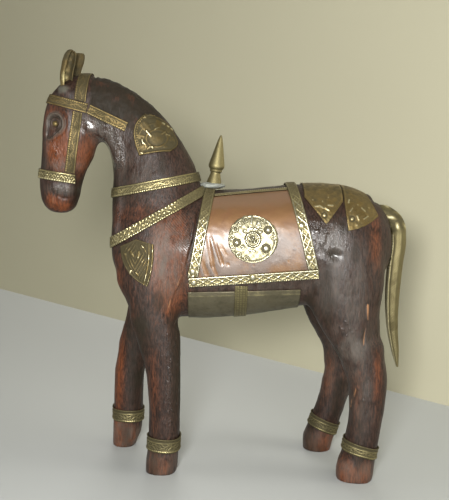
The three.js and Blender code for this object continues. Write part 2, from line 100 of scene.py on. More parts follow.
# How far these sheets stand off the wood, and how high their relief is.
COPPER_FIT = (0.12, 0.45)
BELLY_FIT = (0.35, 0.5)
GIRTH_FIT = (1.0, 0.3)
MEDALLION_FIT = (0.85, 0.6)
ANKLET_FIT = (0.5, 0.4)

# How finely things are made: the body's cells and the drop of its soles, how far a feeler
# reaches for the wood, the feelers round a strap, and the rows and columns of other sheets.
VOXEL = 1.95
SOLE_DROP = 5.0
CAST = 90.0
LOOKS_ROUND = 181
NECK_GRID = (68, 56)
BREAST_GRID = (76, 54)
MEDALLION_GRID = (241, 56)
TAIL_GRID = (300, 73)
EAR_GRID = (90, 57)
FINIAL_TURNS = 56

# Straps and strips, as lines on the drawing from front to rear or top to bottom.
BROWBAND = ((-84.0, 161.75), (-60.4, 156.45))
NOSEBAND = ((-86.0, 128.7), (-65.8, 126.07))
CHEEK_STRAP = ((-64.4, 154.9), (-68.2, 128.6))
THROAT_STRAP = ((-59.8, 156.2), (-43.4, 149.0))
CROWNPIECE = ((-61.5, 180.0), (-63.4, 159.9))
NECK_COLLAR = ((-56.0, 119.3), (-4.0, 130.6))
BREAST_COLLAR = ((-58.0, 94.2), (2.0, 129.9))
SADDLE_FRONT = ((-12.9, 87.6), (-7.1, 123.0))
SADDLE_REAR = ((37.4, 92.3), (27.9, 127.0))
SADDLE_LOWER = ((-14.6, 84.6), (39.9, 89.8))
SADDLE_UPPER = ((-9.0, 120.3), (30.0, 124.9))
UPPER_STRIP = 1.7
HEART_Z = 100.0
UPPER_Z = 125.0
UNDER_STRIP = 1.3
PANEL_MIDDLE = 12.0
PANEL_WIDTH = 62.0
BELLY_MIDDLE = 9.0
BELLY_WIDTH = 48.0
BELLY_TOP = ((-15.0, 80.2), (33.0, 82.4))
GIRTH_Y = 7.6
GIRTH_WIDTH = 5.3
GIRTH_TOP = 83.6
MEDALLION = (11.7, 103.8)
MEDALLION_RADIUS = 10.441
EYE = (-74.3, 149.7)
SIDES = {"left": 1, "right": -1}

X_AXIS = np.array([1.0, 0.0, 0.0])


def to_frame(points):
    """Drawing millimetres to the frame's metres."""
    return np.asarray(points) * MM + ORIGIN


def to_drawing(points):
    """The frame's metres to drawing millimetres."""
    return (np.asarray(points) - ORIGIN) / MM


def inside(points, margin=0.0):
    """Places kept within the whole model's box."""
    low, high = (to_drawing(corner) for corner in CAD_BOX)
    return np.clip(points, low + margin, high - margin)


def box_of(node):
    """The low and high corners of a piece's box, on the drawing."""
    return [to_drawing(corner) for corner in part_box(node)]


def yz(point):
    """A place on the drawing's middle plane."""
    return np.array([0.0, point[0], point[1]])


def direction(line):
    """The unit direction of a line on the drawing, as (x, y, z)."""
    return unit(yz(line[1]) - yz(line[0]))


# ---- Curves, relief and noise ----


def unit(vectors):
    """Vectors of length one."""
    return vectors / np.maximum(np.linalg.norm(vectors, axis=-1, keepdims=True), 1e-12)


def ease(low, high, value):
    """0 below low, 1 above high, and smooth between them."""
    share = np.clip((value - low) / (high - low), 0, 1)
    return share * share * (3 - 2 * share)


def ridge(distance, width):
    """1 on a line, falling smoothly to 0 at width from it."""
    return ease(0, 1, 1 - np.abs(distance) / width)


def dome(distance, radius):
    """The height of a round stud, 1 at its middle."""
    return np.sqrt(np.clip(1 - (distance / radius) ** 2, 0, 1))


def ring(distance, radius, width):
    """A raised circle."""
    return ridge(distance - radius, width)


def repeat(value, pitch):
    """How far value is from the nearest multiple of pitch."""
    return value - pitch * np.round(value / pitch)


def highest(*layers):
    """The highest of several reliefs at each place."""
    return functools.reduce(np.maximum, layers)


def hump(distance, width):
    """1 on a line, falling away on both sides of it in a long soft curve."""
    return np.exp(-((distance / width) ** 2))


def ripple(angle):
    """A wave from 0 to 1."""
    return 0.5 + 0.5 * np.cos(angle)


def travel(path):
    """How far along a path each of its points is."""
    return np.concatenate([[0], np.cumsum(np.linalg.norm(np.diff(path, axis=0), axis=1))])


def noise(points, size, seed):
    """Smooth noise from -1 to 1 with lumps of about the given size."""
    cells = 32
    lattice = np.random.default_rng(seed).uniform(-1, 1, (cells,) * 3)
    scaled = np.asarray(points) / size
    cell = np.floor(scaled).astype(int)
    share = scaled - cell
    share = share * share * (3 - 2 * share)
    total = np.zeros(scaled.shape[:-1])
    for corner in np.ndindex(2, 2, 2):
        weight = np.prod(np.where(np.array(corner) == 1, share, 1 - share), axis=-1)
        index = (cell + corner) % cells
        total += weight * lattice[index[..., 0], index[..., 1], index[..., 2]]
    return total


def bend(start, handle, end, steps):
    """Points along a curve from start to end, drawn towards handle."""
    t = np.linspace(0, 1, steps)[:, None]
    start, handle, end = (np.array(p, float) for p in (start, handle, end))
    return (1 - t) ** 2 * start + 2 * t * (1 - t) * handle + t * t * end


def along_path(points, steps):
    """Points at equal steps along a path."""
    points = np.array(points, float)
    travelled = travel(points)
    places = np.linspace(0, travelled[-1], steps)
    return np.stack([np.interp(places, travelled, c) for c in points.T], axis=1)


def smooth_rows(table, steps):
    """Rows between the given ones, on a smooth curve through them."""
    table = np.array(table, float)
    travelled = travel(table[:, :2])
    slopes = np.gradient(table, travelled, axis=0)
    places = np.linspace(0, travelled[-1], steps)
    after = np.clip(np.searchsorted(travelled, places), 1, len(table) - 1)
    span = (travelled[after] - travelled[after - 1])[:, None]
    t = (places - travelled[after - 1])[:, None] / span
    low, high = table[after - 1], table[after]
    low_slope, high_slope = slopes[after - 1] * span, slopes[after] * span
    rows = (2 * t**3 - 3 * t**2 + 1) * low + (t**3 - 2 * t**2 + t) * low_slope
    return rows + (-2 * t**3 + 3 * t**2) * high + (t**3 - t**2) * high_slope


def from_line(points, line):
    """How far points are from a line on the drawing: more than 0 is to the line's left."""
    start, end = (np.array(p) for p in line)
    ahead = unit(end - start)
    offset = points[..., 1:] - start
    return ahead[0] * offset[..., 1] - ahead[1] * offset[..., 0]


def from_segment(y, z, start, end):
    """How far places are from a short straight line, and how far along it they are, from 0 to 1."""
    reach_y, reach_z = end[0] - start[0], end[1] - start[1]
    square = max(reach_y**2 + reach_z**2, 1e-9)
    share = np.clip(((y - start[0]) * reach_y + (z - start[1]) * reach_z) / square, 0, 1)
    return np.hypot(y - start[0] - share * reach_y, z - start[1] - share * reach_z), share


def sum_of_lines(y, z, lines):
    """Soft straight lines added together. Each has its start, end, width and amount."""
    total = np.zeros_like(y)
    for start, end, width, amount in lines:
        total += amount * ridge(from_segment(y, z, start, end)[0], width)
    return total


def sum_of_patches(y, z, patches):
    """Soft oval patches added together. Each has its y, z, radius along y and z, and amount."""
    total = np.zeros_like(y)
    for at_y, at_z, radius_y, radius_z, amount in patches:
        total += amount * np.exp(-(((y - at_y) / radius_y) ** 2) - ((z - at_z) / radius_z) ** 2)
    return total


# ---- Making meshes ----

wood_skin = {}


def add_object(name, data):
    """A new object in the scene."""
    made = bpy.data.objects.new(name, data)
    bpy.context.scene.collection.objects.link(made)
    return made


def to_mesh(bm, name):
    """A mesh made from a bmesh, which is given up."""
    mesh = bpy.data.meshes.new(name)
    bm.to_mesh(mesh)
    bm.free()
    return mesh


def even_relief(bm, value):
    """Paints one height of relief on every corner."""
    layer = bm.verts.layers.float.new("relief")
    for vert in bm.verts:
        vert[layer] = value


def finish_piece(name, bm, material, wall=0.0):
    """Turns a bmesh into the piece that stands for the node of the same name."""
    return finish_mesh(name, to_mesh(bm, name), [name], material, wall)


def finish_mesh(name, mesh, nodes, material, wall=0.0):
    """Gives a mesh its object, its wall, its material and its place in the frame."""
    mesh.shade_smooth()
    piece = add_object(name, mesh)
    mesh.materials.append(bpy.data.materials[material])
    if wall:
        shell = piece.modifiers.new("wall", "SOLIDIFY")
        shell.thickness = wall * MM
        shell.offset = -1
    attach(piece, "root")
    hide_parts(*nodes)
    return piece


def grid_bmesh(points, closed=False, relief=None):
    """A sheet with its corners at the given places, closed into a loop if asked for."""
    columns, rows = points.shape[:2]
    bm = bmesh.new()
    bmesh.ops.create_grid(bm, x_segments=columns - 1, y_segments=rows - 1, size=1)
    layer = bm.verts.layers.float.new("relief")
    placed = to_frame(points)
    for vert in bm.verts:
        column = round((vert.co.x + 1) / 2 * (columns - 1))
        row = round((vert.co.y + 1) / 2 * (rows - 1))
        vert.co = placed[column, row]
        if relief is not None:
            vert[layer] = relief[column, row]
    if closed:
        bmesh.ops.remove_doubles(bm, verts=bm.verts, dist=0.005 * MM)
    return bm


def surface_normals(points, outward, closed):
    """The directions straight out of a sheet."""
    if closed:
        wrapped = np.concatenate([points[-2:-1], points, points[1:2]])
        along = np.gradient(wrapped, axis=0)[1:-1]
    else:
        along = np.gradient(points, axis=0)
    normals = unit(np.cross(along, np.gradient(points, axis=1)))
    if np.sum(normals * outward) < 0:
        normals = -normals
    return normals


def relaxed(values, passes, closed=False):
    """Evens out a grid of values along both of its directions."""
    for _ in range(passes):
        if closed:
            core = values[:-1]
            core = (np.roll(core, 1, 0) + 2 * core + np.roll(core, -1, 0)) / 4
            values = np.concatenate([core, core[:1]])
        else:
            padded = np.pad(values, ((1, 1), (0, 0)), "edge")
            values = (padded[:-2] + 2 * padded[1:-1] + padded[2:]) / 4
        padded = np.pad(values, ((0, 0), (1, 1)), "edge")
        values = (padded[:, :-2] + 2 * padded[:, 1:-1] + padded[:, 2:]) / 4
    return values


def reach(starts, ways):
    """How far it is to the wood's skin from places inside it."""
    tree = wood_skin.get("tree")
    if tree is None:
        raise RuntimeError("carve the body before the pieces that lie on it")
    found = np.full(starts.shape[:-1], np.nan)
    for index in np.ndindex(found.shape):
        hit = tree.ray_cast(Vector(starts[index]), Vector(ways[index]), CAST)
        if hit[3] is not None:
            found[index] = hit[3]
    return found


def filled(values):
    """Values with the gaps in each row filled from their neighbours."""
    result = values.copy()
    for row in result:
        known = ~np.isnan(row)
        if known.any() and not known.all():
            row[~known] = np.interp(np.flatnonzero(~known), np.flatnonzero(known), row[known])
    return result


@dataclass
class Lay:
    """A sheet laid on the wood: its places, their way out, and where they are on the sheet."""

    points: np.ndarray
    outward: np.ndarray
    along: np.ndarray = None
    across: np.ndarray = None
    closed: bool = False

    @property
    def yz(self):
        """How far along and up the drawing the sheet's places are."""
        return self.points[..., 1], self.points[..., 2]

    def raised(self, heights):
        """The sheet's places, lifted off the wood."""
        normals = surface_normals(self.points, self.outward, self.closed)
        return self.points + normals * heights[..., None]


def wrapped(middle, front, across, width, pitch, ease_passes=6, span=(-180, 180)):
    """A strap wound round the wood. Turns are counted in degrees from its front, to the left."""
    side = unit(np.cross(front, across))
    side = side * np.sign(side[0])
    closed = span[1] - span[0] == 360
    turns = np.radians(np.linspace(*span, LOOKS_ROUND))
    ways = np.cos(turns)[:, None] * front + np.sin(turns)[:, None] * side
    radii = filled(reach(np.broadcast_to(middle, ways.shape), ways)[None])[0]
    travelled = travel(middle + ways * radii[:, None])
    travelled -= travelled[LOOKS_ROUND // 2]
    columns = 2 * round((travelled[-1] - travelled[0]) / pitch / 2)
    rows = max(round(width / pitch), 2)
    places = np.linspace(travelled[0], travelled[-1], columns + 1)
    angles = np.interp(places, travelled, turns)
    rises = np.linspace(-width / 2, width / 2, rows + 1)
    ways = np.cos(angles)[:, None] * front + np.sin(angles)[:, None] * side
    ways = np.broadcast_to(ways[:, None], (columns + 1, rows + 1, 3))
    starts = middle + np.broadcast_to(rises[None, :, None] * across, ways.shape)
    radii = filled(reach(starts, ways))
    if closed:
        radii[-1] = radii[0]
    radii = relaxed(radii, ease_passes, closed)
    along = np.broadcast_to(places[:, None], radii.shape)
    return Lay(
        starts + ways * radii[..., None], ways, along, np.broadcast_to(rises, radii.shape), closed
    )


def strap_round(line, at, width, pitch=0.28, ease_passes=6, span=(-180, 180)):
    """A strap wound round the horse along a line, about a middle at a share of the line."""
    ahead = direction(line)
    middle = yz(line[0]) + at * (yz(line[1]) - yz(line[0]))
    return wrapped(middle, -ahead, np.cross(X_AXIS, ahead), width, pitch, ease_passes, span)


def upright(y):
    """A line straight up the drawing."""
    return (y, 60.0), (y, 140.0)


def beside(places, side, ease_passes=5):
    """A sheet laid against one side of the horse, from its places on the drawing."""
    starts = np.zeros((*places.shape[:2], 3))
    starts[..., 1:] = places
    ways = np.broadcast_to(side * X_AXIS, starts.shape)
    depths = relaxed(filled(filled(reach(starts, ways)).T).T, ease_passes)
    return Lay(starts + ways * depths[..., None], ways)


def strap_beside(line, width, side, pitch=0.28):
    """A straight strap against one side of the horse."""
    start, end = (np.array(p, float) for p in line)
    length = np.linalg.norm(end - start)
    ahead = (end - start) / length
    across = np.array([-ahead[1], ahead[0]])
    forwards = np.linspace(0, length, round(length / pitch) + 1)
    rises = np.linspace(-width / 2, width / 2, max(round(width / pitch), 2) + 1)
    lay = beside(start + forwards[:, None, None] * ahead + rises[None, :, None] * across, side)
    grid = lay.points.shape[:2]
    lay.along = np.broadcast_to(travel(lay.points[:, grid[1] // 2])[:, None], grid)
    lay.across = np.broadcast_to(rises, grid)
    return lay


def cut_off(bm, place, way, dist, **sides):
    """Cuts a bmesh along a plane, and says which edges the cut made."""
    whole = bm.verts[:] + bm.edges[:] + bm.faces[:]
    cut = bmesh.ops.bisect_plane(bm, geom=whole, plane_co=place, plane_no=way, dist=dist, **sides)
    return [item for item in cut["geom_cut"] if isinstance(item, bmesh.types.BMEdge)]


def cut_sheet(bm, cuts):
    """Cuts a sheet along lines on the drawing, and keeps what lies to their left."""
    for line in cuts:
        left = np.cross(X_AXIS, direction(line))
        cut_off(bm, to_frame(yz(line[0])), left, 0.002 * MM, clear_inner=True)


def shifted(line, left):
    """A line on the drawing, moved to its left."""
    across = np.cross(X_AXIS, direction(line))[1:] * left
    return tuple(tuple(np.array(p) + across) for p in line)


def turned(line):
    """A line on the drawing, read from its other end."""
    return line[1], line[0]


def square_end(line):
    """The line across a strap at its end that keeps the strap."""
    ahead = direction(line)[1:]
    return line[1], tuple(np.array(line[1]) + (-ahead[1], ahead[0]))


def face_out(bm, way_out):
    """Turns a sheet's faces the way that the given function says is out for a face."""
    bmesh.ops.recalc_face_normals(bm, faces=bm.faces)
    if sum(face.normal.dot(way_out(face)) for face in bm.faces) < 0:
        bmesh.ops.reverse_faces(bm, faces=bm.faces)


def lay_metal(
    name, lay, heights, material, lift, depth, cuts=(), wall=SHEET, dull=0.0, slot="brass"
):
    """Makes embossed sheet metal: a lay on the wood, and the height of its relief from 0 to 1."""
    marks = noise(lay.points, 2.6, len(name)) * 0.05 + noise(lay.points, 0.9, 7) * 0.02
    raised = inside(lay.raised(lift + heights * depth + marks))
    bm = grid_bmesh(raised, lay.closed, heights * (1 - dull))
    centre = Vector(np.mean(to_frame(lay.points).reshape(-1, 3), axis=0))
    outward = Vector(lay.outward[len(lay.outward) // 2, 0])
    face_out(bm, lambda f: f.calc_center_median() - centre if lay.closed else outward)
    cut_sheet(bm, cuts)
    return finish_piece(name, bm, material, wall)


def fit(sizes):
    """How far a sheet stands off the wood and how high its relief is, in millimetres."""
    return sizes.lift / MM, sizes.relief / MM


# ---- Embossed patterns. along and across are in millimetres, and the height is from 0 to 1. ----


def bead_row(along, across, row, pitch=1.0, radius=0.44):
    """A row of small beads."""
    return dome(np.hypot(repeat(along, pitch), across - row), radius)


def leaf_run(along, across, half, pitch=1.35, wave=9.0):
    """A wavy stem with slanting leaves on both sides."""
    stem = 0.42 * half * np.sin(2 * math.pi * along / wave)
    off = across - stem
    slant = (along + 0.95 * np.abs(off) * np.sign(np.cos(math.pi * along / wave))) / pitch
    leaves = ripple(2 * math.pi * slant) ** 1.6
    leaves *= ease(0.15, 0.45, np.abs(off)) * ease(half, half - 0.5, np.abs(across))
    return highest(0.8 * leaves, 0.9 * ridge(off, 0.42))


def bridle_relief(along, across, width, seed=0):
    """The pattern of the bridle straps: leaves between a bead row and a plain edge."""
    half = width / 2
    sway = 0.18 * np.sin(along * 1.9 + seed)
    leaves = leaf_run(along + sway, across, half - 0.75, pitch=1.1, wave=7.0)
    hatch = 0.4 * ridge(repeat(along + 0.8 * across + seed, 0.9), 0.3)
    field = highest(0.75 * leaves, hatch * ease(half - 0.7, half - 1.0, np.abs(across)))
    beads = bead_row(along, across, -half + 0.5, 0.95, 0.46)
    edge = ridge(across - half + 0.38, 0.5)
    return highest(field, 0.9 * beads, 0.8 * edge)


def scroll_relief(along, across, width):
    """The pattern of the breast collar: ringed buds between curling leaves."""
    half = width / 2
    cell = 5.2
    place = repeat(along, cell)
    bud = np.hypot(place, across)
    curl = np.hypot(repeat(along + cell / 2, cell), across - 0.25 * np.sign(place))
    petals = ring(curl, 1.0, 0.42) + 0.8 * dome(curl, 0.42)
    buds = 0.9 * dome(bud, 0.62) + 0.7 * ring(bud, 1.15, 0.32)
    slashes = 0.5 * ridge(repeat(along - 1.2 * across, 1.7), 0.36)
    within = ease(half - 0.55, half - 0.9, np.abs(across))
    core = highest(petals, buds, slashes) * within
    beads = bead_row(along, across, -half + 0.45, 1.05, 0.47)
    edge = bead_row(along, across, half - 0.42, 1.6, 0.6)
    return np.clip(highest(core, beads, 0.9 * edge), 0, 1)


def lattice_relief(along, across, width, cell=3.95, beads=True, rim=0.45):
    """The pattern of the saddle strips: lozenges with a flower in each, between raised edges."""
    half = width / 2
    field = half - rim - 0.4
    sway = 0.16 * np.sin(along * 0.83) + 0.1 * np.sin(along * 2.1)
    place = repeat(along + sway, cell)
    steep = math.hypot(2 / cell, 1 / field)
    lozenge = ridge((np.abs(place) * 2 / cell + np.abs(across) / field - 1) / steep, 0.42)
    middle = np.hypot(place, across)
    blossom = highest(dome(middle, 0.36), 0.75 * ring(middle, 0.72, 0.3))
    small = dome(np.hypot(repeat(along + sway + cell / 2, cell), np.abs(across) - field), 0.4)
    within = ease(field + 0.35, field + 0.1, np.abs(across))
    core = highest(lozenge, 0.9 * blossom, 0.7 * small) * within
    upper = ridge(across - half + rim, rim + 0.12)
    if beads:
        lower = bead_row(along, across, -half + 0.48, 0.98, 0.47)
    else:
        lower = ridge(across + half - rim, rim + 0.12)
    return highest(core, upper, lower)


def flower(away, around):
    """A small six-petalled flower about a stud."""
    petals = ring(away, 1.05, 0.5) * (0.55 + 0.45 * np.cos(6 * around))
    return np.clip(dome(away, 0.5) + petals, 0, 1)


def noseband_relief(along, across, width):
    """Flowers and crosses, with a strong bead row below."""
    half = width / 2
    cell = 4.6
    place = repeat(along, cell)
    blossom = flower(np.hypot(place, across - 0.2), np.arctan2(across - 0.2, place))
    halfway = repeat(along + cell / 2, cell)
    cross = highest(ridge(halfway - across, 0.4), ridge(halfway + across, 0.4))
    cross *= ease(1.5, 1.2, np.hypot(halfway, across))
    beads = bead_row(along, across, -half + 0.55, 1.05, 0.54)
    edge = ridge(across - half + 0.4, 0.5)
    return np.clip(highest(blossom, 0.8 * cross, beads, 0.8 * edge), 0, 1)


def strokes(y, z, marks, width):
    """Short raised bars with round ends."""
    height = np.zeros(np.broadcast(y, z).shape)
    for start, end in marks:
        away, _ = from_segment(y, z, start, end)
        height = highest(height, dome(away, width))
    return height


def with_nail(height, away, radius=0.8):
    """A relief with a round nail in a sunken ring set into it."""
    height = np.where(away < radius + 0.7, height * ease(radius + 0.2, radius + 0.7, away), height)
    return highest(height, dome(away, radius))


# ---- Pieces ----


def welded(node):
    """A copy of a node's mesh with its loose triangles joined."""
    bm = bmesh.new()
    bm.from_mesh(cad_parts[node].data)
    bmesh.ops.remove_doubles(bm, verts=bm.verts, dist=0.001 * MM)
    return bm


def evaluated_mesh(mesh, kind, **settings):
    """A mesh with one modifier applied to it."""
    carrier = add_object("carrier", mesh)
    modifier = carrier.modifiers.new(kind, kind)
    for name, value in settings.items():
        setattr(modifier, name, value)
    graph = bpy.context.evaluated_depsgraph_get()
    result = bpy.data.meshes.new_from_object(carrier.evaluated_get(graph))
    bpy.data.objects.remove(carrier)
    return result


def corner_vectors(mesh, name):
    """The place or the way out at each corner of a mesh, in the frame."""
    flat = np.zeros(len(mesh.vertices) * 3)
    mesh.vertices.foreach_get(name, flat)
    return flat.reshape(-1, 3)


def mesh_places(mesh):
    """A mesh's corners, in drawing millimetres."""
    return to_drawing(corner_vectors(mesh, "co"))


def move_corners(mesh, points):
    """Puts a mesh's corners at the given places on the drawing."""
    mesh.vertices.foreach_set("co", to_frame(points).ravel())
    mesh.update()


def rub_down(mesh, passes=70, inwards=0.63, outwards=-0.67):
    """Rounds a mesh's flats without making it thinner."""
    pairs = np.zeros(len(mesh.edges) * 2, int)
    mesh.edges.foreach_get("vertices", pairs)
    pairs = pairs.reshape(-1, 2)
    points = mesh_places(mesh)
    count = len(points)
    ends = np.concatenate([pairs[:, 0], pairs[:, 1]])
    others = np.concatenate([pairs[:, 1], pairs[:, 0]])
    neighbours = np.bincount(ends, minlength=count)[:, None]
    for share in (inwards, outwards) * passes:
        sums = [np.bincount(ends, points[others, k], minlength=count) for k in range(3)]
        points = points + share * (np.stack(sums, axis=1) / neighbours - points)
    move_corners(mesh, points)


def rough_body():
    """The body's block with its flats rubbed round, and its soles drawn out below the floor."""
    bm = welded("horse_body")
    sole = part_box("horse_body")[0].z + 0.05 * MM
    soles = [f for f in bm.faces if f.normal.z < -0.9 and f.calc_center_median().z < sole]
    drawn = bmesh.ops.extrude_face_region(bm, geom=soles)["geom"]
    moved = [item for item in drawn if isinstance(item, bmesh.types.BMVert)]
    bmesh.ops.translate(bm, vec=(0, 0, -SOLE_DROP * MM), verts=moved)
    mesh = to_mesh(bm, "block")
    mesh = evaluated_mesh(mesh, "REMESH", mode="VOXEL", voxel_size=VOXEL * MM)
    rub_down(mesh)
    return mesh


def refine(mesh, levels):
    """Cuts a mesh finer, once for each list of round places on the drawing (y, z, radius).

    The first cut is made on both of the horse's sides, and the later ones on its left.
    """
    for level, spots in enumerate(levels):
        bm = bmesh.new()
        bm.from_mesh(mesh)
        middles = to_drawing([face.calc_center_median() for face in bm.faces])
        near = np.zeros(len(middles), bool)
        for y, z, radius in spots:
            near |= np.hypot(middles[:, 1] - y, middles[:, 2] - z) < radius
        if level > 0:
            near &= middles[:, 0] > 0
        bm.faces.ensure_lookup_table()
        edges = {edge for index in np.flatnonzero(near) for edge in bm.faces[index].edges}
        bmesh.ops.subdivide_edges(bm, edges=list(edges), cuts=1, use_grid_fill=True)
        bm.to_mesh(mesh)
        bm.free()


def eye_rim(around):
    """How far the almond ridge is from the eye's middle, and how far each way is from its tear."""
    to_tear = np.abs(np.angle(np.exp(1j * (around - math.radians(-116)))))
    return 4.0 + 3.4 * hump(to_tear, 0.4) - 0.25 * np.cos(2 * around), to_tear


def carve_eyes(y, z, side):
    """An almond ridge that runs to a point at the front, with a hollow and a ring round the stud."""
    off_y, off_z = y - EYE[0], z - EYE[1]
    away = np.hypot(off_y, off_z)
    around = np.arctan2(off_z, off_y)
    rim, to_tear = eye_rim(around)
    height = 0.7 * hump(away - rim, 0.6)
    height -= 0.62 * hump(away - rim + 1.15, 0.6) * ease(0.1, 0.5, to_tear)
    height += 0.34 * hump(away - 2.2, 0.45)
    height -= 0.35 * hump(away - 1.5, 0.4)
    height -= 0.3 * hump(away - rim - 1.0, 0.6)
    brow = hump(away - 7.0, 0.8) * hump(around - 0.9, 0.55)
    return np.where(away < 11, height + 0.3 * brow, 0) * np.where(side > 0, 1, 0.85)


SHOULDER_EDGE = (
    # y and z, from the top
    (-11.6, 117), (-12.6, 112), (-13.6, 103.5), (-15.4, 97), (-17.2, 88), (-18.6, 83.5),
    (-21, 79.2), (-22.4, 73.5), (-23, 69),
)
JOWL = ((-63.0, 148.6), (-57.5, 147.6), (-52.2, 145.6), (-49.2, 141.0), (-47.0, 134.5))


def behind_shoulder(y, z):
    """How far places are behind the shoulder's rear edge."""
    ahead, rises = zip(*reversed(SHOULDER_EDGE))
    return y - np.interp(z, rises, ahead)


def from_jowl(y, z):
    """How far places are from the crest that runs from the jaw down the neck."""
    nearest = np.full(np.broadcast(y, z).shape, 99.0)
    for start, end in zip(JOWL[:-1], JOWL[1:]):
        nearest = np.minimum(nearest, from_segment(y, z, start, end)[0])
    return nearest


def carve_shoulder(y, z):
    """A step down behind the shoulder."""
    behind = behind_shoulder(y, z)
    proud = 0.36 * np.exp(np.minimum(behind, 0) / 3.5)
    sunk = -0.4 * np.exp(-highest(behind, 0) / 3.4)
    step = proud + (sunk - proud) * ease(-0.6, 0.9, behind)
    return step * (ease(71, 84, z) * ease(119, 113, z) * (behind > -14))


def comb_cuts(y, z):
    """Fine slanting cuts in front of the shoulder's edge."""
    cut = ripple(2 * math.pi * (0.72 * y + 0.69 * z) / 0.88 + 0.4 * np.sin(z))
    patch = np.exp(-(((y + 18.6) / 5.4) ** 4)) * np.exp(-(((z - 107.0) / 7.6) ** 4))
    return cut * patch * ease(-0.3, -0.9, behind_shoulder(y, z))


def carve_head(y, z):
    """The mouth, the slit up the muzzle and the cheek's edge."""
    away, share = from_segment(y, z, (-74.3, 120.2), (-74.2, 112.0))
    height = -0.5 * ridge(away, 0.85) * ease(0, 0.2, share)
    height += sum_of_lines(
        y,
        z,
        (
            ((-75.6, 119.4), (-75.4, 113.6), 1, 0.22), ((-73.9, 119), (-71.2, 117.7), 0.8, -0.3),
            ((-71.2, 117.7), (-67.4, 117.6), 0.8, -0.3),
            ((-78.4, 119.6), (-77.6, 117.6), 0.9, -0.4),
        ),
    )
    return height * (z < 122)


LEFT_MARKS = (
    # start, end, width and depth of cracks, flakes and scars
    ((51.5, 80.6), (56.1, 82.2), 0.8, 0.3), ((61.1, 77.2), (61.4, 71.6), 1, -0.4),
    ((62.6, 77.4), (62, 71), 0.6, 0.3), ((60.4, 67.6), (59.6, 57), 0.6, 0.35),
    ((58, 41), (56.4, 32), 0.9, 0.3), ((66.9, 64.2), (68.6, 61.8), 1.2, 0.5),
    ((54.3, 30.6), (56.4, 31.2), 0.8, 0.35), ((48.9, 83.5), (50.5, 78.4), 0.6, 0.2),
    ((-21.4, 68), (-20.2, 59), 0.5, 0.16), ((-27, 98), (-25.8, 84), 0.6, 0.18),
    ((-24, 96), (-23.2, 86), 0.5, 0.16), ((-29, 80), (-27.4, 70), 0.6, 0.16),
    ((52, 12), (57, 5.5), 0.6, 0.25), ((55, 13), (60, 7), 0.6, 0.25),
    ((-20.6, 52), (-20.2, 38), 0.5, 0.16),
)


def left_side_marks(y, z):
    """Dents, cracks, flakes and scars on the horse's left side."""
    dents = sum_of_patches(y, z, ((46.2, 98.0, 2.6, 2.1, -0.7), (46.5, 101.2, 2.6, 1.6, 0.25)))
    return dents - sum_of_lines(y, z, LEFT_MARKS)


DRIPS = (
    # y, z, radius along y, radius along z, amount
    (-20.8, 44, 2.6, 26, 1), (-45, 54, 2.5, 6, 0.8), (62.4, 36, 2.5, 12, 1),
    (52, 62, 4, 8, 0.7), (40, 104, 5, 6, 1),
)


def drips(points):
    """Small beads of varnish that ran down and dried."""
    _, y, z = points.T
    specks = ease(0.52, 0.75, noise(points * (1, 1, 0.7), 0.85, 61))
    return specks * np.clip(sum_of_patches(y, z, DRIPS), 0, 1)


def carve(points, normals):
    """How far each place on the body is moved out by the carving and by wear."""
    x, y, z = points.T
    flank = np.abs(normals[:, 0]) > 0.25
    from_middle = np.abs(x)
    height = np.where(flank, carve_eyes(y, z, x) + carve_head(y, z), 0)
    height += np.where(flank & (from_middle > 8), carve_shoulder(y, z), 0)
    height -= np.where(flank & (x > 8), 0.3 * comb_cuts(y, z), 0)
    height += np.where(flank & (x > 6), left_side_marks(y, z), 0)
    height += np.where(flank, 1.2 * hump(from_jowl(y, z), 2.1) * ease(-62.4, -60.2, y), 0)
    height += 0.35 * drips(points)
    putty = sum_of_patches(y, z, ((-70.6, 163.4, 3.3, 3.2, 1.5),))
    height += putty * ease(1.5, 4.5, from_middle) * (1 + 0.3 * noise(points, 1.7, 6))
    height += 0.10 * noise(points * (1, 1, 0.22), 2.3, 3) + 0.13 * noise(points, 6.5, 4)
    height += 0.05 * noise(points * (1, 1, 0.4), 1.2, 8)
    height += mane_share(points) * (0.16 * noise(points, 1.5, 5) - 0.1)
    notches = hump(y + 58.4, 0.7) + 0.8 * hump(y + 56.0, 0.5)
    height -= 0.9 * notches * ease(168.5, 170, z)
    lumps = hump(y - 62.5, 1.8) + 0.9 * hump(y - 67.6, 1.5)
    height += 0.9 * lumps * ease(116, 120.5, z) * ease(7.5, 3, from_middle)
    height -= 0.7 * hump(y - 65.2, 0.8) * ease(115, 119, z) * ease(8, 3, from_middle)
    dips = 1.5 * hump(z - 73.0, 8.0) + 1.1 * hump(z - 87.0, 4.2)
    height -= dips * ease(-38, -41.5, y)
    ripples = sum_of_patches(y, z, ((40.0, 104.0, 6.0, 8.0, 0.16),))
    height += ripples * noise(points * (1, 1, 0.45), 1.1, 9) * flank
    above_hock = ease(58.5, 63.5, z) * ease(84, 70, z)
    return height - 1.3 * above_hock * ease(58, 66, y) * (x > 4)


def mane_share(points):
    """1 on the dark mane along the neck's crest, and 0 elsewhere."""
    _, y, z = points.T
    crest = from_line(points, ((-62.0, 157.5), (-39.5, 147.0)))
    front = from_line(points, ((-59.6, 150.0), (-59.0, 180.0)))
    share = ease(-0.4, 0.8, crest) * ease(0.4, -0.6, front) * ease(-26, -30, y)
    return share * ease(140, 146, z)


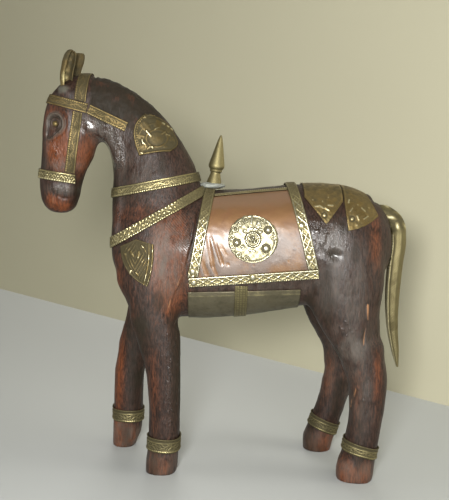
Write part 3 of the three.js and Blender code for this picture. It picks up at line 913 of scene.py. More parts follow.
# These four tables have a patch's y, z, radius along y, radius along z, and amount.
WEAR = (
    (-74, 151, 7, 8, 0.7), (-72.5, 138, 7, 9, 1.1), (-60.5, 137, 5.6, 9.5, 1.1),
    (-76, 115.8, 2.8, 4, 1), (-71.4, 114.6, 3.2, 3.6, 1), (-46, 112, 3, 8, 0.4),
    (-37, 113, 7, 5, 0.45), (-45, 84, 3, 12, 0.7), (-39, 70, 4.5, 12, 0.25),
    (-25, 95, 6.5, 17, 1.5), (-20.5, 84, 5, 12, 1), (-31, 70, 5.5, 12, 0.1),
    (-28.5, 38, 3, 26, 0.4), (-18.6, 107, 5, 7, 0.7), (-48, 40, 2.8, 24, 1.25),
    (-25, 3, 6.5, 6, 0.9), (-46.4, 5, 6.5, 7, 2.2), (64, 103, 3, 11, 0.8),
    (66.5, 46, 2.2, 12, 0.8), (58.5, 40, 2, 14, 0.4), (50.5, 36, 3.4, 12, 0.8),
    (61, 3, 7, 6, 1), (49.5, 3, 7, 6, 1.2),
)
GLOSS = (
    (-60, 148.5, 4.5, 2.6, 0.9), (-54, 147, 4.5, 2.8, 1), (-49.5, 142.5, 3.2, 5.5, 0.9),
    (-47.5, 136, 2.5, 6, 0.7), (-75, 136, 3, 9, 0.5), (-72, 121.5, 5, 1.8, 1),
    (38.5, 107.5, 4.8, 5.5, 1.7), (43, 103.5, 5.4, 6, 1.6), (46.5, 105.5, 4, 6, 1.3),
    (39.5, 99, 3, 5, 0.6), (62.5, 38, 1.6, 9, 0.8), (-22, 40, 2, 20, 0.5),
    (-16, 92, 3, 14, 0.5), (-46, 112, 2, 10, 0.5),
)
# Bloom on the varnish, and painted sheen and glare: the patches along the jowl, beside the noseband,
# on the shoulder and on the haunch stand in for light caught by the varnish.
BLOOM_AND_SHEEN = (
    (-52, 140, 9, 13, 0.6), (-57, 149, 7, 4, 0.9), (-36, 128, 14, 8, 0.45),
    (-71, 121.5, 7, 2, 0.9), (-71, 132, 8, 2, 0.8), (50, 88, 14, 18, 0.7),
    (44, 105, 6, 6, 0.5), (-51, 144.5, 4, 4, 0.8), (56, 60, 9, 14, 0.45),
    (60, 36, 5, 14, 0.5), (-24.5, 96, 7, 13, 1.6), (-24, 78, 4, 8, 0.3),
    (50.5, 36, 3.4, 12, 0.6), (10, 84, 26, 3, 0.7), (56, 58, 5, 6, 0.8),
)
# Soot, and painted shade: the narrow strips down both forelegs' front and rear edges are painted
# shade; the patch at y 46.2, z 98 is a dark knot in the wood.
SOOT_AND_SHADE = (
    (46.2, 98, 2.8, 2.1, 0.9), (-45, 121, 8, 5, 0.5), (-33, 64, 7, 12, 0.5),
    (-19, 48, 2.4, 28, 0.7), (-34.5, 44, 1.6, 26, 0.6), (-41, 40, 3, 26, 0.7),
    (-52, 40, 1.4, 24, 0.5), (-68, 158.5, 6, 2.5, 0.6),
)
BARE = (
    # start, end, width and amount of fresh chips and scratches
    ((61.1, 77.4), (61.4, 71.2), 1.2, 1.1), ((60.4, 67.6), (59.6, 57), 0.8, 0.95),
    ((58, 41), (56.4, 32), 0.9, 0.9), ((54, 30.8), (56.2, 31), 0.6, 0.7),
    ((-75.6, 119.4), (-75.2, 113), 0.7, 0.9), ((52, 80.8), (56, 82.4), 0.5, 0.3),
)


def paint_body(mesh):
    """Marks where the wood is worn, bloomed, sooty, bare, glossy or patched with putty, and where
    light and shade are painted on it: sheen and glare with the bloom, shade with the soot, and
    highlights along lit edges with the wear and bare wood.
    """
    points = mesh_places(mesh)
    x, y, z = points.T
    mane = mane_share(points)
    reddened = noise(points * (1, 0.6, 0.6), 3.6, 13)
    worn = sum_of_patches(y, z, WEAR) * (1 + 0.35 * noise(points * (1, 1, 0.35), 4.0, 11))
    worn = worn * (1 - 0.8 * mane) + 0.5 * mane * ease(0.1, 0.7, reddened)
    behind = behind_shoulder(y, z)
    on_step = ease(69, 74, z) * ease(120, 114, z)
    # Along the shoulder's step, the lit edge is painted in the worn wood colour: a painted
    # highlight.
    worn += 0.8 * hump(behind + 0.9, 0.9) * on_step * ease(100, 92, z)
    eye = np.hypot(y - EYE[0], z - EYE[1])
    rim, _ = eye_rim(np.arctan2(z - EYE[1], y - EYE[0]))
    worn *= 0.3 + 0.7 * ease(rim - 1.0, rim + 0.8, eye)
    # The pale ring on the eye's almond ridge is a painted highlight.
    bloom_and_sheen = sum_of_patches(y, z, BLOOM_AND_SHEEN) + 2.2 * hump(eye - rim, 0.8) + 0.5 * ease(3.4, 2.6, eye)
    # The fine cuts in front of the shoulder are painted pale along their lines: a painted highlight.
    bloom_and_sheen += 0.8 * comb_cuts(y, z) + 0.6 * ease(11, 7, z)
    bloom_and_sheen += sum_of_patches(y, z, ((-46.0, 5.0, 6.0, 6.0, 2.2),)) * (x < 0)
    soot_and_shade = mane * (0.95 - 0.4 * ease(0.0, 0.6, reddened)) + sum_of_patches(y, z, SOOT_AND_SHADE)
    soot_and_shade += 0.6 * ease(0.25, 0.75, noise(points * (1, 1, 0.5), 5.5, 12))
    # The dark rings in the hollow inside the ridge and round the stud are painted shade.
    soot_and_shade += 0.6 * hump(eye - rim + 1.2, 0.7) + 0.4 * ease(2.0, 1.2, eye)
    # Behind the shoulder's step, a painted shadow.
    soot_and_shade += 0.4 * hump(behind - 1.8, 1.8) * on_step * ease(76, 84, z)
    # A patch of painted shade on the right side, high on the hind leg, beside the crease where the
    # near thigh overlaps it.
    soot_and_shade += sum_of_patches(y, z, ((46.0, 70.0, 5.0, 10.0, 0.45),)) * (x < 0)
    bare_and_lit_edge = sum_of_lines(y, z, BARE) * ((x > 4) | (z > 110))
    crumbs = ease(-0.4, 0.5, noise(points * (1, 1, 0.4), 2.0, 14))
    # A painted highlight of bare wood colour runs along the shoulder's lit edge.
    bare_and_lit_edge += 0.8 * ridge(behind + 0.6, 0.85) * on_step * ease(106, 98, z) * (0.35 + 0.65 * crumbs)
    bare_and_lit_edge *= 0.75 + 0.45 * noise(points * (1, 1, 0.5), 1.2, 16)
    putty = sum_of_patches(y, z, ((-70.6, 164.0, 3.8, 3.2, 1.0),)) * (np.abs(x) > 2)
    # The putty colour on the ridge's crest is also part of the eye rim's painted highlight.
    putty = putty * (0.8 + 0.6 * noise(points, 2.2, 15)) + 0.5 * hump(eye - rim, 0.6)
    gloss = sum_of_patches(y, z, GLOSS) + 1.5 * hump(from_jowl(y, z), 2.4)
    gloss = gloss * (1 - mane) + drips(points)
    marks = {"gloss": gloss, "worn": worn, "bloom_and_sheen": bloom_and_sheen, "soot_and_shade": soot_and_shade, "bare_and_lit_edge": bare_and_lit_edge, "putty": putty}
    for name, values in marks.items():
        layer = mesh.attributes.new(name, "FLOAT", "POINT")
        layer.data.foreach_set("value", np.clip(values, 0, 1).astype(np.float32))


FINE_SPOTS = (
    # y, z and radius of places that are cut finer once, besides the eye and the shoulder's edge
    (-73, 117, 7.5), (-48, 160, 11), (60, 70, 9), (40, 104, 9),
    (-55, 146, 8), (55, 38, 7),
)


def make_body(sizes):
    """Carves the body, and keeps its plain skin for the pieces that lie on it."""
    mesh = rough_body()
    skin = evaluated_mesh(mesh.copy(), "SUBSURF", levels=1, render_levels=1)
    faces = [tuple(p.vertices) for p in skin.polygons]
    wood_skin["tree"] = BVHTree.FromPolygons([Vector(p) for p in mesh_places(skin)], faces)
    fine = [(*EYE, 7.5), (-18.6, 107.0, 9.4), *((y, z, 2.4) for y, z in SHOULDER_EDGE)]
    for before, after in zip(SHOULDER_EDGE[:-1], SHOULDER_EDGE[1:]):
        fine.append((*np.mean((before, after), axis=0), 2.4))
    refine(skin, ((*FINE_SPOTS, *fine), fine))
    points = mesh_places(skin)
    normals = corner_vectors(skin, "normal")
    points = points + normals * (carve(points, normals) * sizes.carving)[:, None]
    low, high = box_of("horse_body")
    move_corners(skin, np.clip(points, (low[0], low[1], -np.inf), high))
    bm = bmesh.new()
    bm.from_mesh(skin)
    rims = cut_off(bm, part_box("horse_body")[0], (0, 0, -1), 0.01 * MM, clear_outer=True)
    for vert in bm.verts:
        vert.co.z = max(vert.co.z, CAD_BOX[0][2])
    bmesh.ops.holes_fill(bm, edges=rims, sides=0)
    bmesh.ops.recalc_face_normals(bm, faces=bm.faces)
    bm.to_mesh(skin)
    bm.free()
    paint_body(skin)
    finish_mesh("body", skin, ["horse_body"], "Varnished wood")


def make_bridle(sizes):
    """The browband, crownpiece, noseband, cheek straps and throat straps."""
    lift, depth = fit(sizes)
    lay = strap_round(BROWBAND, 0.62, STRAP)
    relief = 0.75 * bridle_relief(lay.along, -lay.across, STRAP, 1)
    lay_metal("browband", lay, relief, "Brown brass", lift, depth, [square_end(BROWBAND)])
    lay = strap_round(CROWNPIECE, 0.98, CROWN_STRAP)
    relief = 0.55 * bridle_relief(lay.along, lay.across, CROWN_STRAP, 2)
    cuts = [shifted(BROWBAND, STRAP / 2 + GAP)]
    lay_metal("crownpiece", lay, relief, "Brown brass", lift, depth, cuts)
    lay = strap_round(NOSEBAND, 0.68, STRAP)
    relief = noseband_relief(lay.along, lay.across, STRAP)
    cuts = [((NOSEBAND[1][0], 120.0), (NOSEBAND[1][0], 140.0))]
    lay_metal("noseband", lay, relief, "Aged brass", lift + 0.1, depth + 0.1, cuts)
    for name, side in SIDES.items():
        lay = strap_beside(CHEEK_STRAP, STRAP, side)
        relief = 0.62 * bridle_relief(lay.along, lay.across, STRAP, 3)
        cuts = [turned(shifted(BROWBAND, -STRAP / 2 - GAP)), shifted(NOSEBAND, STRAP / 2 + GAP)]
        lay_metal(f"cheek_strap_{name}", lay, relief, "Brown brass", lift, depth, cuts)
        lay = strap_beside(THROAT_STRAP, STRAP, side)
        relief = 0.9 * bridle_relief(lay.along, lay.across, STRAP, 4)
        lay_metal(f"throat_strap_{name}", lay, relief, "Brown brass", lift, depth)


def make_collars(sizes):
    """The collar round the neck and the one round the breast."""
    lift, depth = fit(sizes)
    lay = strap_round(NECK_COLLAR, 0.5, STRAP)
    relief = bridle_relief(lay.along, lay.across, STRAP, 5)
    cuts = [shifted(BREAST_COLLAR, STRAP / 2 + GAP)]
    dull = 0.8 * ease(-20, -12, lay.yz[0])
    lay_metal("neck_collar", lay, relief, "Aged brass", lift, depth, cuts, dull=dull)
    lay = strap_round(BREAST_COLLAR, 0.5, STRAP)
    plain = ease(-24, -17, lay.yz[0])
    relief = scroll_relief(lay.along, lay.across, STRAP) * (1 - 0.85 * plain) + 0.45 * plain
    cuts = [shifted(SADDLE_FRONT, SADDLE_STRIP / 2 + 0.1)]
    lay_metal("breast_collar", lay, relief, "Aged brass", lift, depth, cuts, dull=0.5 * plain)


def leaf_patch(front, rear, bottom, top):
    """Places inside an outline of four curves: two that run up, and two that join their ends."""
    across = np.linspace(0, 1, len(bottom))[:, None, None]
    up = np.linspace(0, 1, len(front))[None, :, None]
    places = (1 - across) * front[None] + across * rear[None]
    flat_bottom = (1 - across[:, 0]) * front[0] + across[:, 0] * rear[0]
    flat_top = (1 - across[:, 0]) * front[-1] + across[:, 0] * rear[-1]
    places = places + (1 - up) * (bottom - flat_bottom)[:, None]
    return places + up * (top - flat_top)[:, None]


def border_distance(lay):
    """How far each place on a plate is from the plate's edge."""
    points = lay.points
    edge = np.concatenate([points[0], points[-1], points[:, 0], points[:, -1]])
    edge = edge[:: max(len(edge) // 160, 1)]
    flat = points.reshape(-1, 1, 3)
    return np.min(np.linalg.norm(flat - edge[None], axis=2), axis=1).reshape(points.shape[:2])


NECK_PLATE_FRONT = ((-37.4, 136.9), (-43.6, 149.6), (-35.9, 154.3))
NECK_PLATE_BOTTOM = ((-37.4, 136.9), (-31.0, 138.9), (-24.3, 139.2))
NECK_PLATE_REAR = ((-24.3, 139.2), (-19.6, 141.2), (-23.3, 146.3))
NECK_PLATE_CREST = ((-23.3, 146.3), (-27.4, 154.8), (-35.9, 154.3))
NECK_BOSS = (-30.4, 144.5)
NECK_MARKS = (
    ((-34.9, 147.6), (-32.8, 145.3)), ((-31.3, 148.4), (-30, 148.9)),
    ((-28.3, 146.5), (-27.4, 147.2)), ((-26.8, 146.3), (-25.5, 145.7)),
    ((-34, 140), (-33.2, 140.8)), ((-32.4, 141), (-31.8, 140.4)),
    ((-36.9, 138.3), (-36, 138.3)), ((-28.8, 151), (-28, 150.5)),
    ((-27, 149.9), (-26.2, 149.4)), ((-25.3, 148.8), (-24.5, 148.2)),
    ((-35.9, 153.3), (-35.5, 153.2)), ((-36.5, 144), (-36, 142.2)),
    ((-35.4, 142.4), (-34.8, 141)),
)


def neck_plate_relief(lay):
    """A smooth boss in a wreath of petals, with beads up the front and a raised rim."""
    y, z = lay.yz
    edge = border_distance(lay)
    off_y, off_z = (y - NECK_BOSS[0]) / 4.3, (z - NECK_BOSS[1]) / 3.6
    away = np.hypot(off_y, off_z)
    around = np.arctan2(off_z, off_y) + 0.12 * noise(lay.points, 2.0, 71)
    petals = ripple(8 * around + 0.6) * ease(1.05, 1.25, away)
    wreath = 0.42 * petals + 0.16 * ripple(24 * around + 3 * away)
    wreath *= ease(2.7, 2.2, away) * ease(1.3, 1.9, edge) * ease(1.1, 1.2, away)
    beads = along_path(bend(*NECK_PLATE_FRONT, 40), 20)[1:-2]
    beads = [dome(np.hypot(y - a - 1.3, z - b), 0.42) for a, b in beads]
    layers = (
        0.45 * dome(away, 0.85) + 0.6 * ring(away, 1.0, 0.17),
        wreath,
        0.5 * ring(away, 1.75, 0.12) * ease(1.6, 2.2, edge),
        0.7 * ring(edge, 0.4, 0.5),
        0.75 * np.max(beads, axis=0),
        strokes(y, z, NECK_MARKS, 0.5),
    )
    return np.clip(highest(*layers), 0, 1)


BREAST_PLATE_FRONT = ((-32.4, 82.9), (-43.2, 87.2), (-43.9, 98.8))
BREAST_PLATE_REAR = ((-31.6, 83.0), (-28.9, 91.5), (-29.7, 100.2))
BREAST_PLATE_TOP = ((-43.9, 98.8), (-37.2, 102.2), (-29.7, 100.2))
BREAST_MARKS = (
    ((-39.1, 96.8), (-38, 95)), ((-35.7, 97), (-36, 94.6)), ((-41.3, 95.8), (-40.9, 94.2)),
    ((-36.8, 88.4), (-35.8, 87.2)), ((-38.7, 89.1), (-39.4, 87.4)), ((-34.6, 99.4), (-34, 98.8)),
    ((-37.9, 85.2), (-36.8, 83.9)),
)


def breast_plate_relief(lay):
    """Leaf shapes inside each other, broken here and there, and a double raised edge behind."""
    y, z = lay.yz
    edge = border_distance(lay)
    rear = np.array(bend(*BREAST_PLATE_REAR, 60))
    from_rear = np.interp(z, rear[:, 1], rear[:, 0]) - y
    warp = noise(lay.points, 2.4, 73)
    size = np.abs(y + 37.3) / 2.6 + np.abs(z - 96.0 + 0.3 * warp) / 4.8 + 0.10 * warp
    nested = ridge(repeat(size - 0.36, 0.5), 0.17) * (0.72 + 0.4 * noise(lay.points, 1.5, 74))
    nested *= ease(2.7, 3.3, from_rear) * ease(0.9, 1.4, edge)
    layers = (
        0.8 * nested,
        0.5 * ring(edge, 0.4, 0.45),
        ring(from_rear, 0.5, 0.55),
        0.95 * ring(from_rear, 2.0, 0.6),
        strokes(y, z, BREAST_MARKS, 0.5),
    )
    return np.clip(highest(*layers), 0, 1)


def make_plates(sizes):
    """The plates on the neck and the breast."""
    lift, depth = fit(sizes)
    up, across = NECK_GRID
    rear = np.concatenate([bend(*NECK_PLATE_REAR, 20), bend(*NECK_PLATE_CREST, 30)])
    neck = leaf_patch(
        bend(*NECK_PLATE_FRONT, up),
        along_path(rear, up),
        bend(*NECK_PLATE_BOTTOM, across),
        np.repeat([NECK_PLATE_FRONT[2]], across, axis=0),
    )
    up, across = BREAST_GRID
    breast = leaf_patch(
        bend(*BREAST_PLATE_FRONT, up),
        bend(*BREAST_PLATE_REAR, up),
        along_path((BREAST_PLATE_FRONT[0], BREAST_PLATE_REAR[0]), across),
        along_path(BREAST_PLATE_TOP, across),
    )
    for name, side in SIDES.items():
        lay = beside(neck, side)
        relief = neck_plate_relief(lay) * (0.85 + 0.2 * noise(lay.points, 1.3, 75))
        lay_metal(f"neck_plate_{name}", lay, relief, "Olive brass", lift, depth + 0.1)
        lay = beside(breast, side)
        relief = breast_plate_relief(lay) * (0.7 + 0.5 * noise(lay.points, 1.5, 76))
        lay_metal(f"breast_plate_{name}", lay, relief, "Olive brass", lift, depth + 0.1)


def rump_relief(lay, outline, place, marks, dots):
    """A raised rim along the plate's cut edges, a nail with faint leaves round it, and strokes."""
    y, z = lay.yz
    edges = [from_segment(y, z, *ends)[0] for ends in zip(outline[:-1], outline[1:])]
    away = np.hypot(y - place[0], z - place[1])
    around = np.arctan2(z - place[1], y - place[0])
    leaves = ripple(9 * around + 0.5 * away) * ease(1.4, 2.4, away)
    field = 0.36 + 0.2 * leaves * ease(9.5, 5.0, away) + 0.16 * noise(lay.points, 1.4, 21)
    layers = (
        field + 0.10 * ring(repeat(away, 3.1), 0, 0.5) * ease(12, 7, away),
        0.7 * ring(np.min(edges, axis=0), 0.5, 0.55),
        strokes(y, z, marks, 0.42),
        strokes(y, z, [(dot, dot) for dot in dots], 0.4),
    )
    return np.clip(with_nail(highest(*layers), away), 0, 1)


REAR_RUMP_CURVE = [tuple(place) for place in bend((51.6, 108.4), (59.2, 109.6), (65.1, 114.6), 5)]
RUMP_PLATES = {
    # the middle's y, the width, the nail, and the outline from the top of its front edge
    "front": (
        41.4,
        16.4,
        (41.4, 114.4),
        ((33.2, 124), (33.2, 122), (42.3, 110.9), (49.6, 120.6), (49.6, 126)),
    ),
    "rear": (
        57.5,
        14.8,
        (53.1, 113.2),
        ((50.2, 126), (50.2, 119), *REAR_RUMP_CURVE, (60.6, 124)),
    ),
}
RUMP_MARKS = {
    # strokes and dots
    "front": (
        (
            ((37.6, 117.6), (39.2, 117.8)), ((39.3, 118), (41, 117.2)),
            ((41.7, 117.3), (43.4, 116.3)), ((43, 118.3), (45.2, 118.2)),
        ),
        ((36.7, 120.2), (40.8, 119.8), (43.3, 121.3)),
    ),
    "rear": (
        (
            ((55.2, 114.4), (55.9, 112.6)), ((52.4, 116.2), (53.3, 117.3)),
            ((51.7, 119.4), (52.1, 120.6)), ((57.2, 117.4), (58.6, 116.2)),
            ((58.2, 113.2), (59.8, 114.2)),
        ),
        ((55.6, 118.6), (60.4, 117.4)),
    ),
}


def make_rump_plates(sizes):
    """The two plates folded over the croup."""
    for name, (y, width, nail, outline) in RUMP_PLATES.items():
        lay = strap_round(upright(y), 0.5, width, pitch=0.27, ease_passes=16, span=(90, 270))
        relief = rump_relief(lay, outline, nail, *RUMP_MARKS[name])
        cut = outline[1:4] if name == "front" else outline[1:]
        cuts = list(zip(cut[:-1], cut[1:]))
        lay_metal(f"{name}_rump_plate", lay, relief, "Brown brass", *fit(sizes), cuts)


COPPER_DENTS = (
    # start, end, width, depth
    ((-7.1, 104.3), (-4.8, 92), 1.4, 0.55), ((-4.6, 104), (-1, 93.2), 1.3, 0.65),
    ((-9.4, 94.4), (-7.4, 88.6), 1.2, 0.55), ((-5.4, 93.2), (-3.2, 88.6), 1.2, 0.5),
    ((-2.6, 102.6), (0.6, 97), 1, 0.3),
)
COPPER_PITS = (
    # y, z, radius, depth
    (1.6, 92.9, 1, 0.7), (12.4, 92.8, 0.7, 0.35), (29.2, 100.2, 0.7, -0.4), (-1.4, 99.3, 0.7, 0.35),
    (27, 95, 0.8, 0.2),
)


def copper_relief(lay):
    """Slanting dents, pits and the waves that a hammer leaves."""
    x, y, z = np.moveaxis(lay.points, -1, 0)
    height = 0.5 + 0.20 * noise(lay.points * (0.4, 1, 1), 7.5, 31)
    height += 0.05 * noise(lay.points, 3.2, 32)
    dented = 0.35 * sum_of_lines(y + 1.3, z + 0.4, COPPER_DENTS)
    for start, end, width, depth in COPPER_DENTS:
        away, share = from_segment(y, z, start, end)
        dented -= depth * ridge(away, width) * ease(-0.2, 0.5, share)
    for at_y, at_z, radius, depth in COPPER_PITS:
        dented -= depth * ridge(np.hypot(y - at_y, z - at_z), radius)
    return height + np.where(x > 0, dented, 0)


def ribbon_on_back(line, width, side, pitch=0.25):
    """A narrow ribbon along a line high on the back, where the wood's skin is nearly level."""
    length = np.linalg.norm(yz(line[1]) - yz(line[0]))
    forwards = np.linspace(0, length, round(length / pitch) + 1)
    middle = yz(line[0]) + forwards[:, None] * direction(line)
    heart = middle.copy()
    heart[:, 2] = HEART_Z
    turns = np.radians(np.linspace(20, 90, 71))
    ways = np.stack([side * np.cos(turns), 0 * turns, np.sin(turns)], axis=1)
    angles = np.zeros(len(forwards))
    for index, start in enumerate(heart):
        found = start + ways * reach(np.broadcast_to(start, ways.shape), ways)[:, None]
        angles[index] = np.interp(middle[index, 2], found[:, 2], turns)
    rows = np.linspace(-width / 2, width / 2, round(width / pitch) + 1)
    angles = relaxed(angles[:, None], 30) + rows / (UPPER_Z - HEART_Z)
    starts = np.broadcast_to(heart[:, None], (*angles.shape, 3))
    ways = np.stack([side * np.cos(angles), 0 * angles, np.sin(angles)], axis=-1)
    depths = relaxed(reach(starts, ways), 6)
    along = np.broadcast_to(forwards[:, None], depths.shape)
    across = np.broadcast_to(rows, depths.shape)
    return Lay(starts + ways * depths[..., None], ways, along, across)


def with_studs(relief, lay, places, low, radius):
    """A strip's relief with round nails set into it."""
    for y, z in places:
        away = np.hypot(lay.yz[0] - y, lay.yz[1] - z)
        relief = np.where(away < 1.5, low + (1 - low) * dome(away, radius), relief)
    return relief


def make_saddle(sizes):
    """The copper panels, and the brass strips round them."""
    lift, depth = fit(sizes)
    half_strip = SADDLE_STRIP / 2
    line = turned(upright(PANEL_MIDDLE))
    panel = strap_round(line, 0.5, PANEL_WIDTH, pitch=0.5, ease_passes=14)
    middle = len(panel.points) // 2
    for name, side in SIDES.items():
        picked = slice(middle, None) if side > 0 else slice(0, middle + 1)
        half = Lay(panel.points[picked], panel.outward[picked])
        _, z = half.yz
        # The panel's colour is set by height: the whiter rubbed colour is spread over its upper part
        # and held back at the bottom, a painted highlight colour.
        dull = 0.2 * ease(97, 91, z) - 0.75 * ease(113, 101, z)
        cuts = [
            turned(shifted(SADDLE_FRONT, half_strip - UNDER_STRIP)),
            shifted(SADDLE_REAR, half_strip - UNDER_STRIP),
            shifted(SADDLE_LOWER, STRAP / 2 - UNDER_STRIP),
            turned(shifted(SADDLE_UPPER, -0.2)),
        ]
        look = {"cuts": cuts, "wall": COPPER_SHEET, "dull": dull, "slot": "copper"}
        relief = copper_relief(half)
        lay_metal(f"saddle_panel_{name}", half, relief, "Old copper", *COPPER_FIT, **look)
        lay = strap_beside(SADDLE_LOWER, STRAP, side)
        relief = lattice_relief(lay.along, lay.across, STRAP)
        relief = with_studs(relief, lay, ((12.2, 87.7), (-12.6, 84.7)), 0.25, 1.1)
        strip = f"lower_saddle_strip_{name}"
        lay_metal(strip, lay, relief, "Bright brass", lift + 0.25, depth + 0.1)
        lay = ribbon_on_back(SADDLE_UPPER, UPPER_STRIP, side)
        relief = highest(bead_row(lay.along, lay.across, 0.1, 0.86, 0.4), 0.2)
        cuts = [
            turned(shifted(SADDLE_FRONT, -half_strip - 0.1)),
            shifted(SADDLE_REAR, half_strip + 0.1),
        ]
        strip = f"upper_saddle_strip_{name}"
        lay_metal(strip, lay, relief, "Bright brass", lift + 0.2, depth, cuts)
    for name, line, nails, worn_from, worn_to in (
        ("front", SADDLE_FRONT, ((-13.1, 89.4),), 110, 117),
        ("rear", SADDLE_REAR, ((31.9, 110.0), (35.6, 96.8)), 118, 123),
    ):
        lay = strap_round(turned(line), 0.7, SADDLE_STRIP)
        relief = lattice_relief(lay.along, lay.across, SADDLE_STRIP, 3.6, beads=False, rim=0.5)
        worn = ease(worn_from, worn_to, lay.yz[1])
        relief = with_studs(relief, lay, nails, 0.2, 1.15) * (1 - 0.15 * worn)
        fitted = lift + 0.25, depth + 0.05, [shifted(SADDLE_LOWER, STRAP / 2 + 0.1)]
        lay_metal(f"{name}_saddle_strip", lay, relief, "Bright brass", *fitted, dull=0.6 * worn)


MEDALLION_STUDS = (
    # y, z and radius of the three big ringed studs
    (6.2, 4.2, 1.05), (-6.7, -1.5, 1.05), (5.6, -3.6, 1.25),
)
MEDALLION_RINGS = (
    # y, z, radius of the small circles
    (-3.3, 8, 1.05), (-7.4, 4.2, 1.2), (-8.8, 0.6, 0.95), (-5.5, 6.1, 0.7), (3, 3.7, 0.8),
    (-8.1, -4, 0.8), (-5.7, -6.5, 0.95), (-2.4, -8, 0.9), (8.6, 1.2, 0.9), (4, 7.8, 0.95),
    (-3.4, 3.4, 0.6), (-4, -3.4, 0.65),
)
MEDALLION_BARS = (
    ((-0.8, 6.8), (-0.6, 9.2)), ((1.5, 5.6), (2, 7.2)), ((2.7, 6.9), (2.9, 5.4)),
    ((-1.2, -4.6), (0.8, -4.8)), ((-1.8, 4.6), (-0.4, 4.2)), ((0.6, 4.4), (1.4, 4.1)),
)


def medallion_relief(away, around):
    """A boss of rings, three ringed studs, and small circles inside an uneven rim."""
    y, z = away * np.cos(around), away * np.sin(around)
    height = 0.4 + 0.1 * np.sin(2.2 * y + 0.6) * np.sin(1.9 * z)
    height = np.where(away > 8.9, 0.45, height)
    height = highest(height, 0.75 * ring(away, 9.6, 0.45)) - 0.35 * ring(away, 8.95, 0.3)
    for at_y, at_z, radius in MEDALLION_RINGS:
        off = np.hypot(y - at_y, z - at_z)
        circle = highest(0.85 * ring(off, radius - 0.1, 0.36), 0.7 * dome(off, 0.36 * radius))
        height = highest(np.where(off < radius + 0.35, 0.12, height), circle)
    height = highest(height, 0.95 * strokes(y, z, MEDALLION_BARS, 0.55))
    for at_y, at_z, radius in MEDALLION_STUDS:
        off = np.hypot(y - at_y, z - at_z)
        stud = highest(dome(off, radius), 0.7 * ring(off, radius + 0.95, 0.3))
        height = highest(np.where(off < radius + 0.75, 0.0, height), stud)
    swirl = 0.45 + 0.3 * np.cos(3 * around + 2.4 * away) + 0.25 * np.cos(5 * around - away)
    swirl = np.where(away < 1.9, swirl * ease(1.9, 1.6, away), 0)
    heart = highest(swirl, 0.7 * ring(away, 2.1, 0.28), 0.95 * ring(away, 2.8, 0.38))
    return np.clip(np.where(away < 3.35, heart, height), 0, 1)


def make_medallions():
    """The round medallions on the saddle."""
    around = np.linspace(-math.pi, math.pi, MEDALLION_GRID[0])[:, None]
    share = np.linspace(0.0, 1.0, MEDALLION_GRID[1])[None]
    scallop = 1 + 0.010 * np.cos(22 * around) + 0.012 * np.sin(3 * around + 1)
    flat = 1 - 0.03 * hump(around + 2.1, 0.5) - 0.05 * np.sin(around) ** 2
    away = share * MEDALLION_RADIUS * scallop * flat
    places = np.stack([away * np.cos(around), away * np.sin(around)], axis=-1) + MEDALLION
    relief = medallion_relief(away, around + 0 * away)
    crown = 0.7 * ease(3.6, 2.9, away) + 0.35 * ease(10.6, 9.6, away)
    lift, depth = MEDALLION_FIT
    for name, side in SIDES.items():
        way_out = side * X_AXIS
        points = beside(places, side, ease_passes=8).points
        points = points + way_out * (lift + crown + depth * relief)[..., None]
        bm = grid_bmesh(points, True, relief)
        face_out(bm, lambda face: Vector(way_out))
        finish_piece(f"medallion_{name}", bm, "Pale brass", wall=THIN)


def make_girth():
    """The dull sheet under the belly, and the girth over it."""
    lay = strap_round(upright(BELLY_MIDDLE), 0.45, BELLY_WIDTH, pitch=0.6, ease_passes=10)
    top = -from_line(lay.points, BELLY_TOP)
    relief = 0.46 + 0.12 * noise(lay.points * (1, 0.4, 1), 2.4, 41)
    relief += 0.12 * noise(lay.points, 1.2, 42) + 0.12 * noise(lay.points, 4.0, 43)
    # A raised fold along the top edge; its rubbed colour there is also a painted sheen along the
    # fold.
    relief += 0.3 * ring(top, 1.6, 0.8) + 0.15 * ease(1.1, 0.4, top)
    look = {"cuts": [turned(BELLY_TOP)], "wall": BELLY_SHEET, "slot": "dark_brass"}
    lay_metal("belly_sheet", lay, np.clip(relief, 0, 1), "Dark brass", *BELLY_FIT, **look)
    lay = strap_round(upright(GIRTH_Y), 0.45, GIRTH_WIDTH, pitch=0.3)
    dots = dome(np.hypot(repeat(lay.along, 1.15), repeat(lay.across, 1.25)), 0.46)
    field = 0.25 + 0.6 * dots * (0.7 + 0.6 * noise(lay.points, 1.6, 44))
    edges = 0.55 * ridge(np.abs(lay.across) - GIRTH_WIDTH / 2 + 0.4, 0.5)
    relief = np.clip(highest(field, edges), 0, 1)
    cuts = [((60.0, GIRTH_TOP), (-60.0, GIRTH_TOP))]
    lay_metal("girth_strap", lay, relief, "Dull brass", *GIRTH_FIT, cuts, GIRTH_SHEET)


FINIAL_FOOT = (-5.7, 125.0)
FINIAL_LEAN = 7.0
SOLDER_GROWTH = (1.05, 1.25, 1.5)
SOLDER_FORWARD = 0.7
FINIAL_PROFILE = (
    (0, -1.2), (3.4, -1.2), (3.5, 0.1), (3.4, 1), (3, 2.4), (2.4, 4.6), (2.15, 5.4),
    (2.15, 5.9), (2.75, 6.3), (2.8, 6.7), (2.5, 7), (3.1, 7.5), (3.5, 8.2), (3.55, 8.9),
    (3.4, 9.7), (3, 11.6), (2.35, 14.5), (1.7, 17.4), (1.1, 20), (0.62, 21.6), (0.35, 22.2),
    (0, 22.4),
)


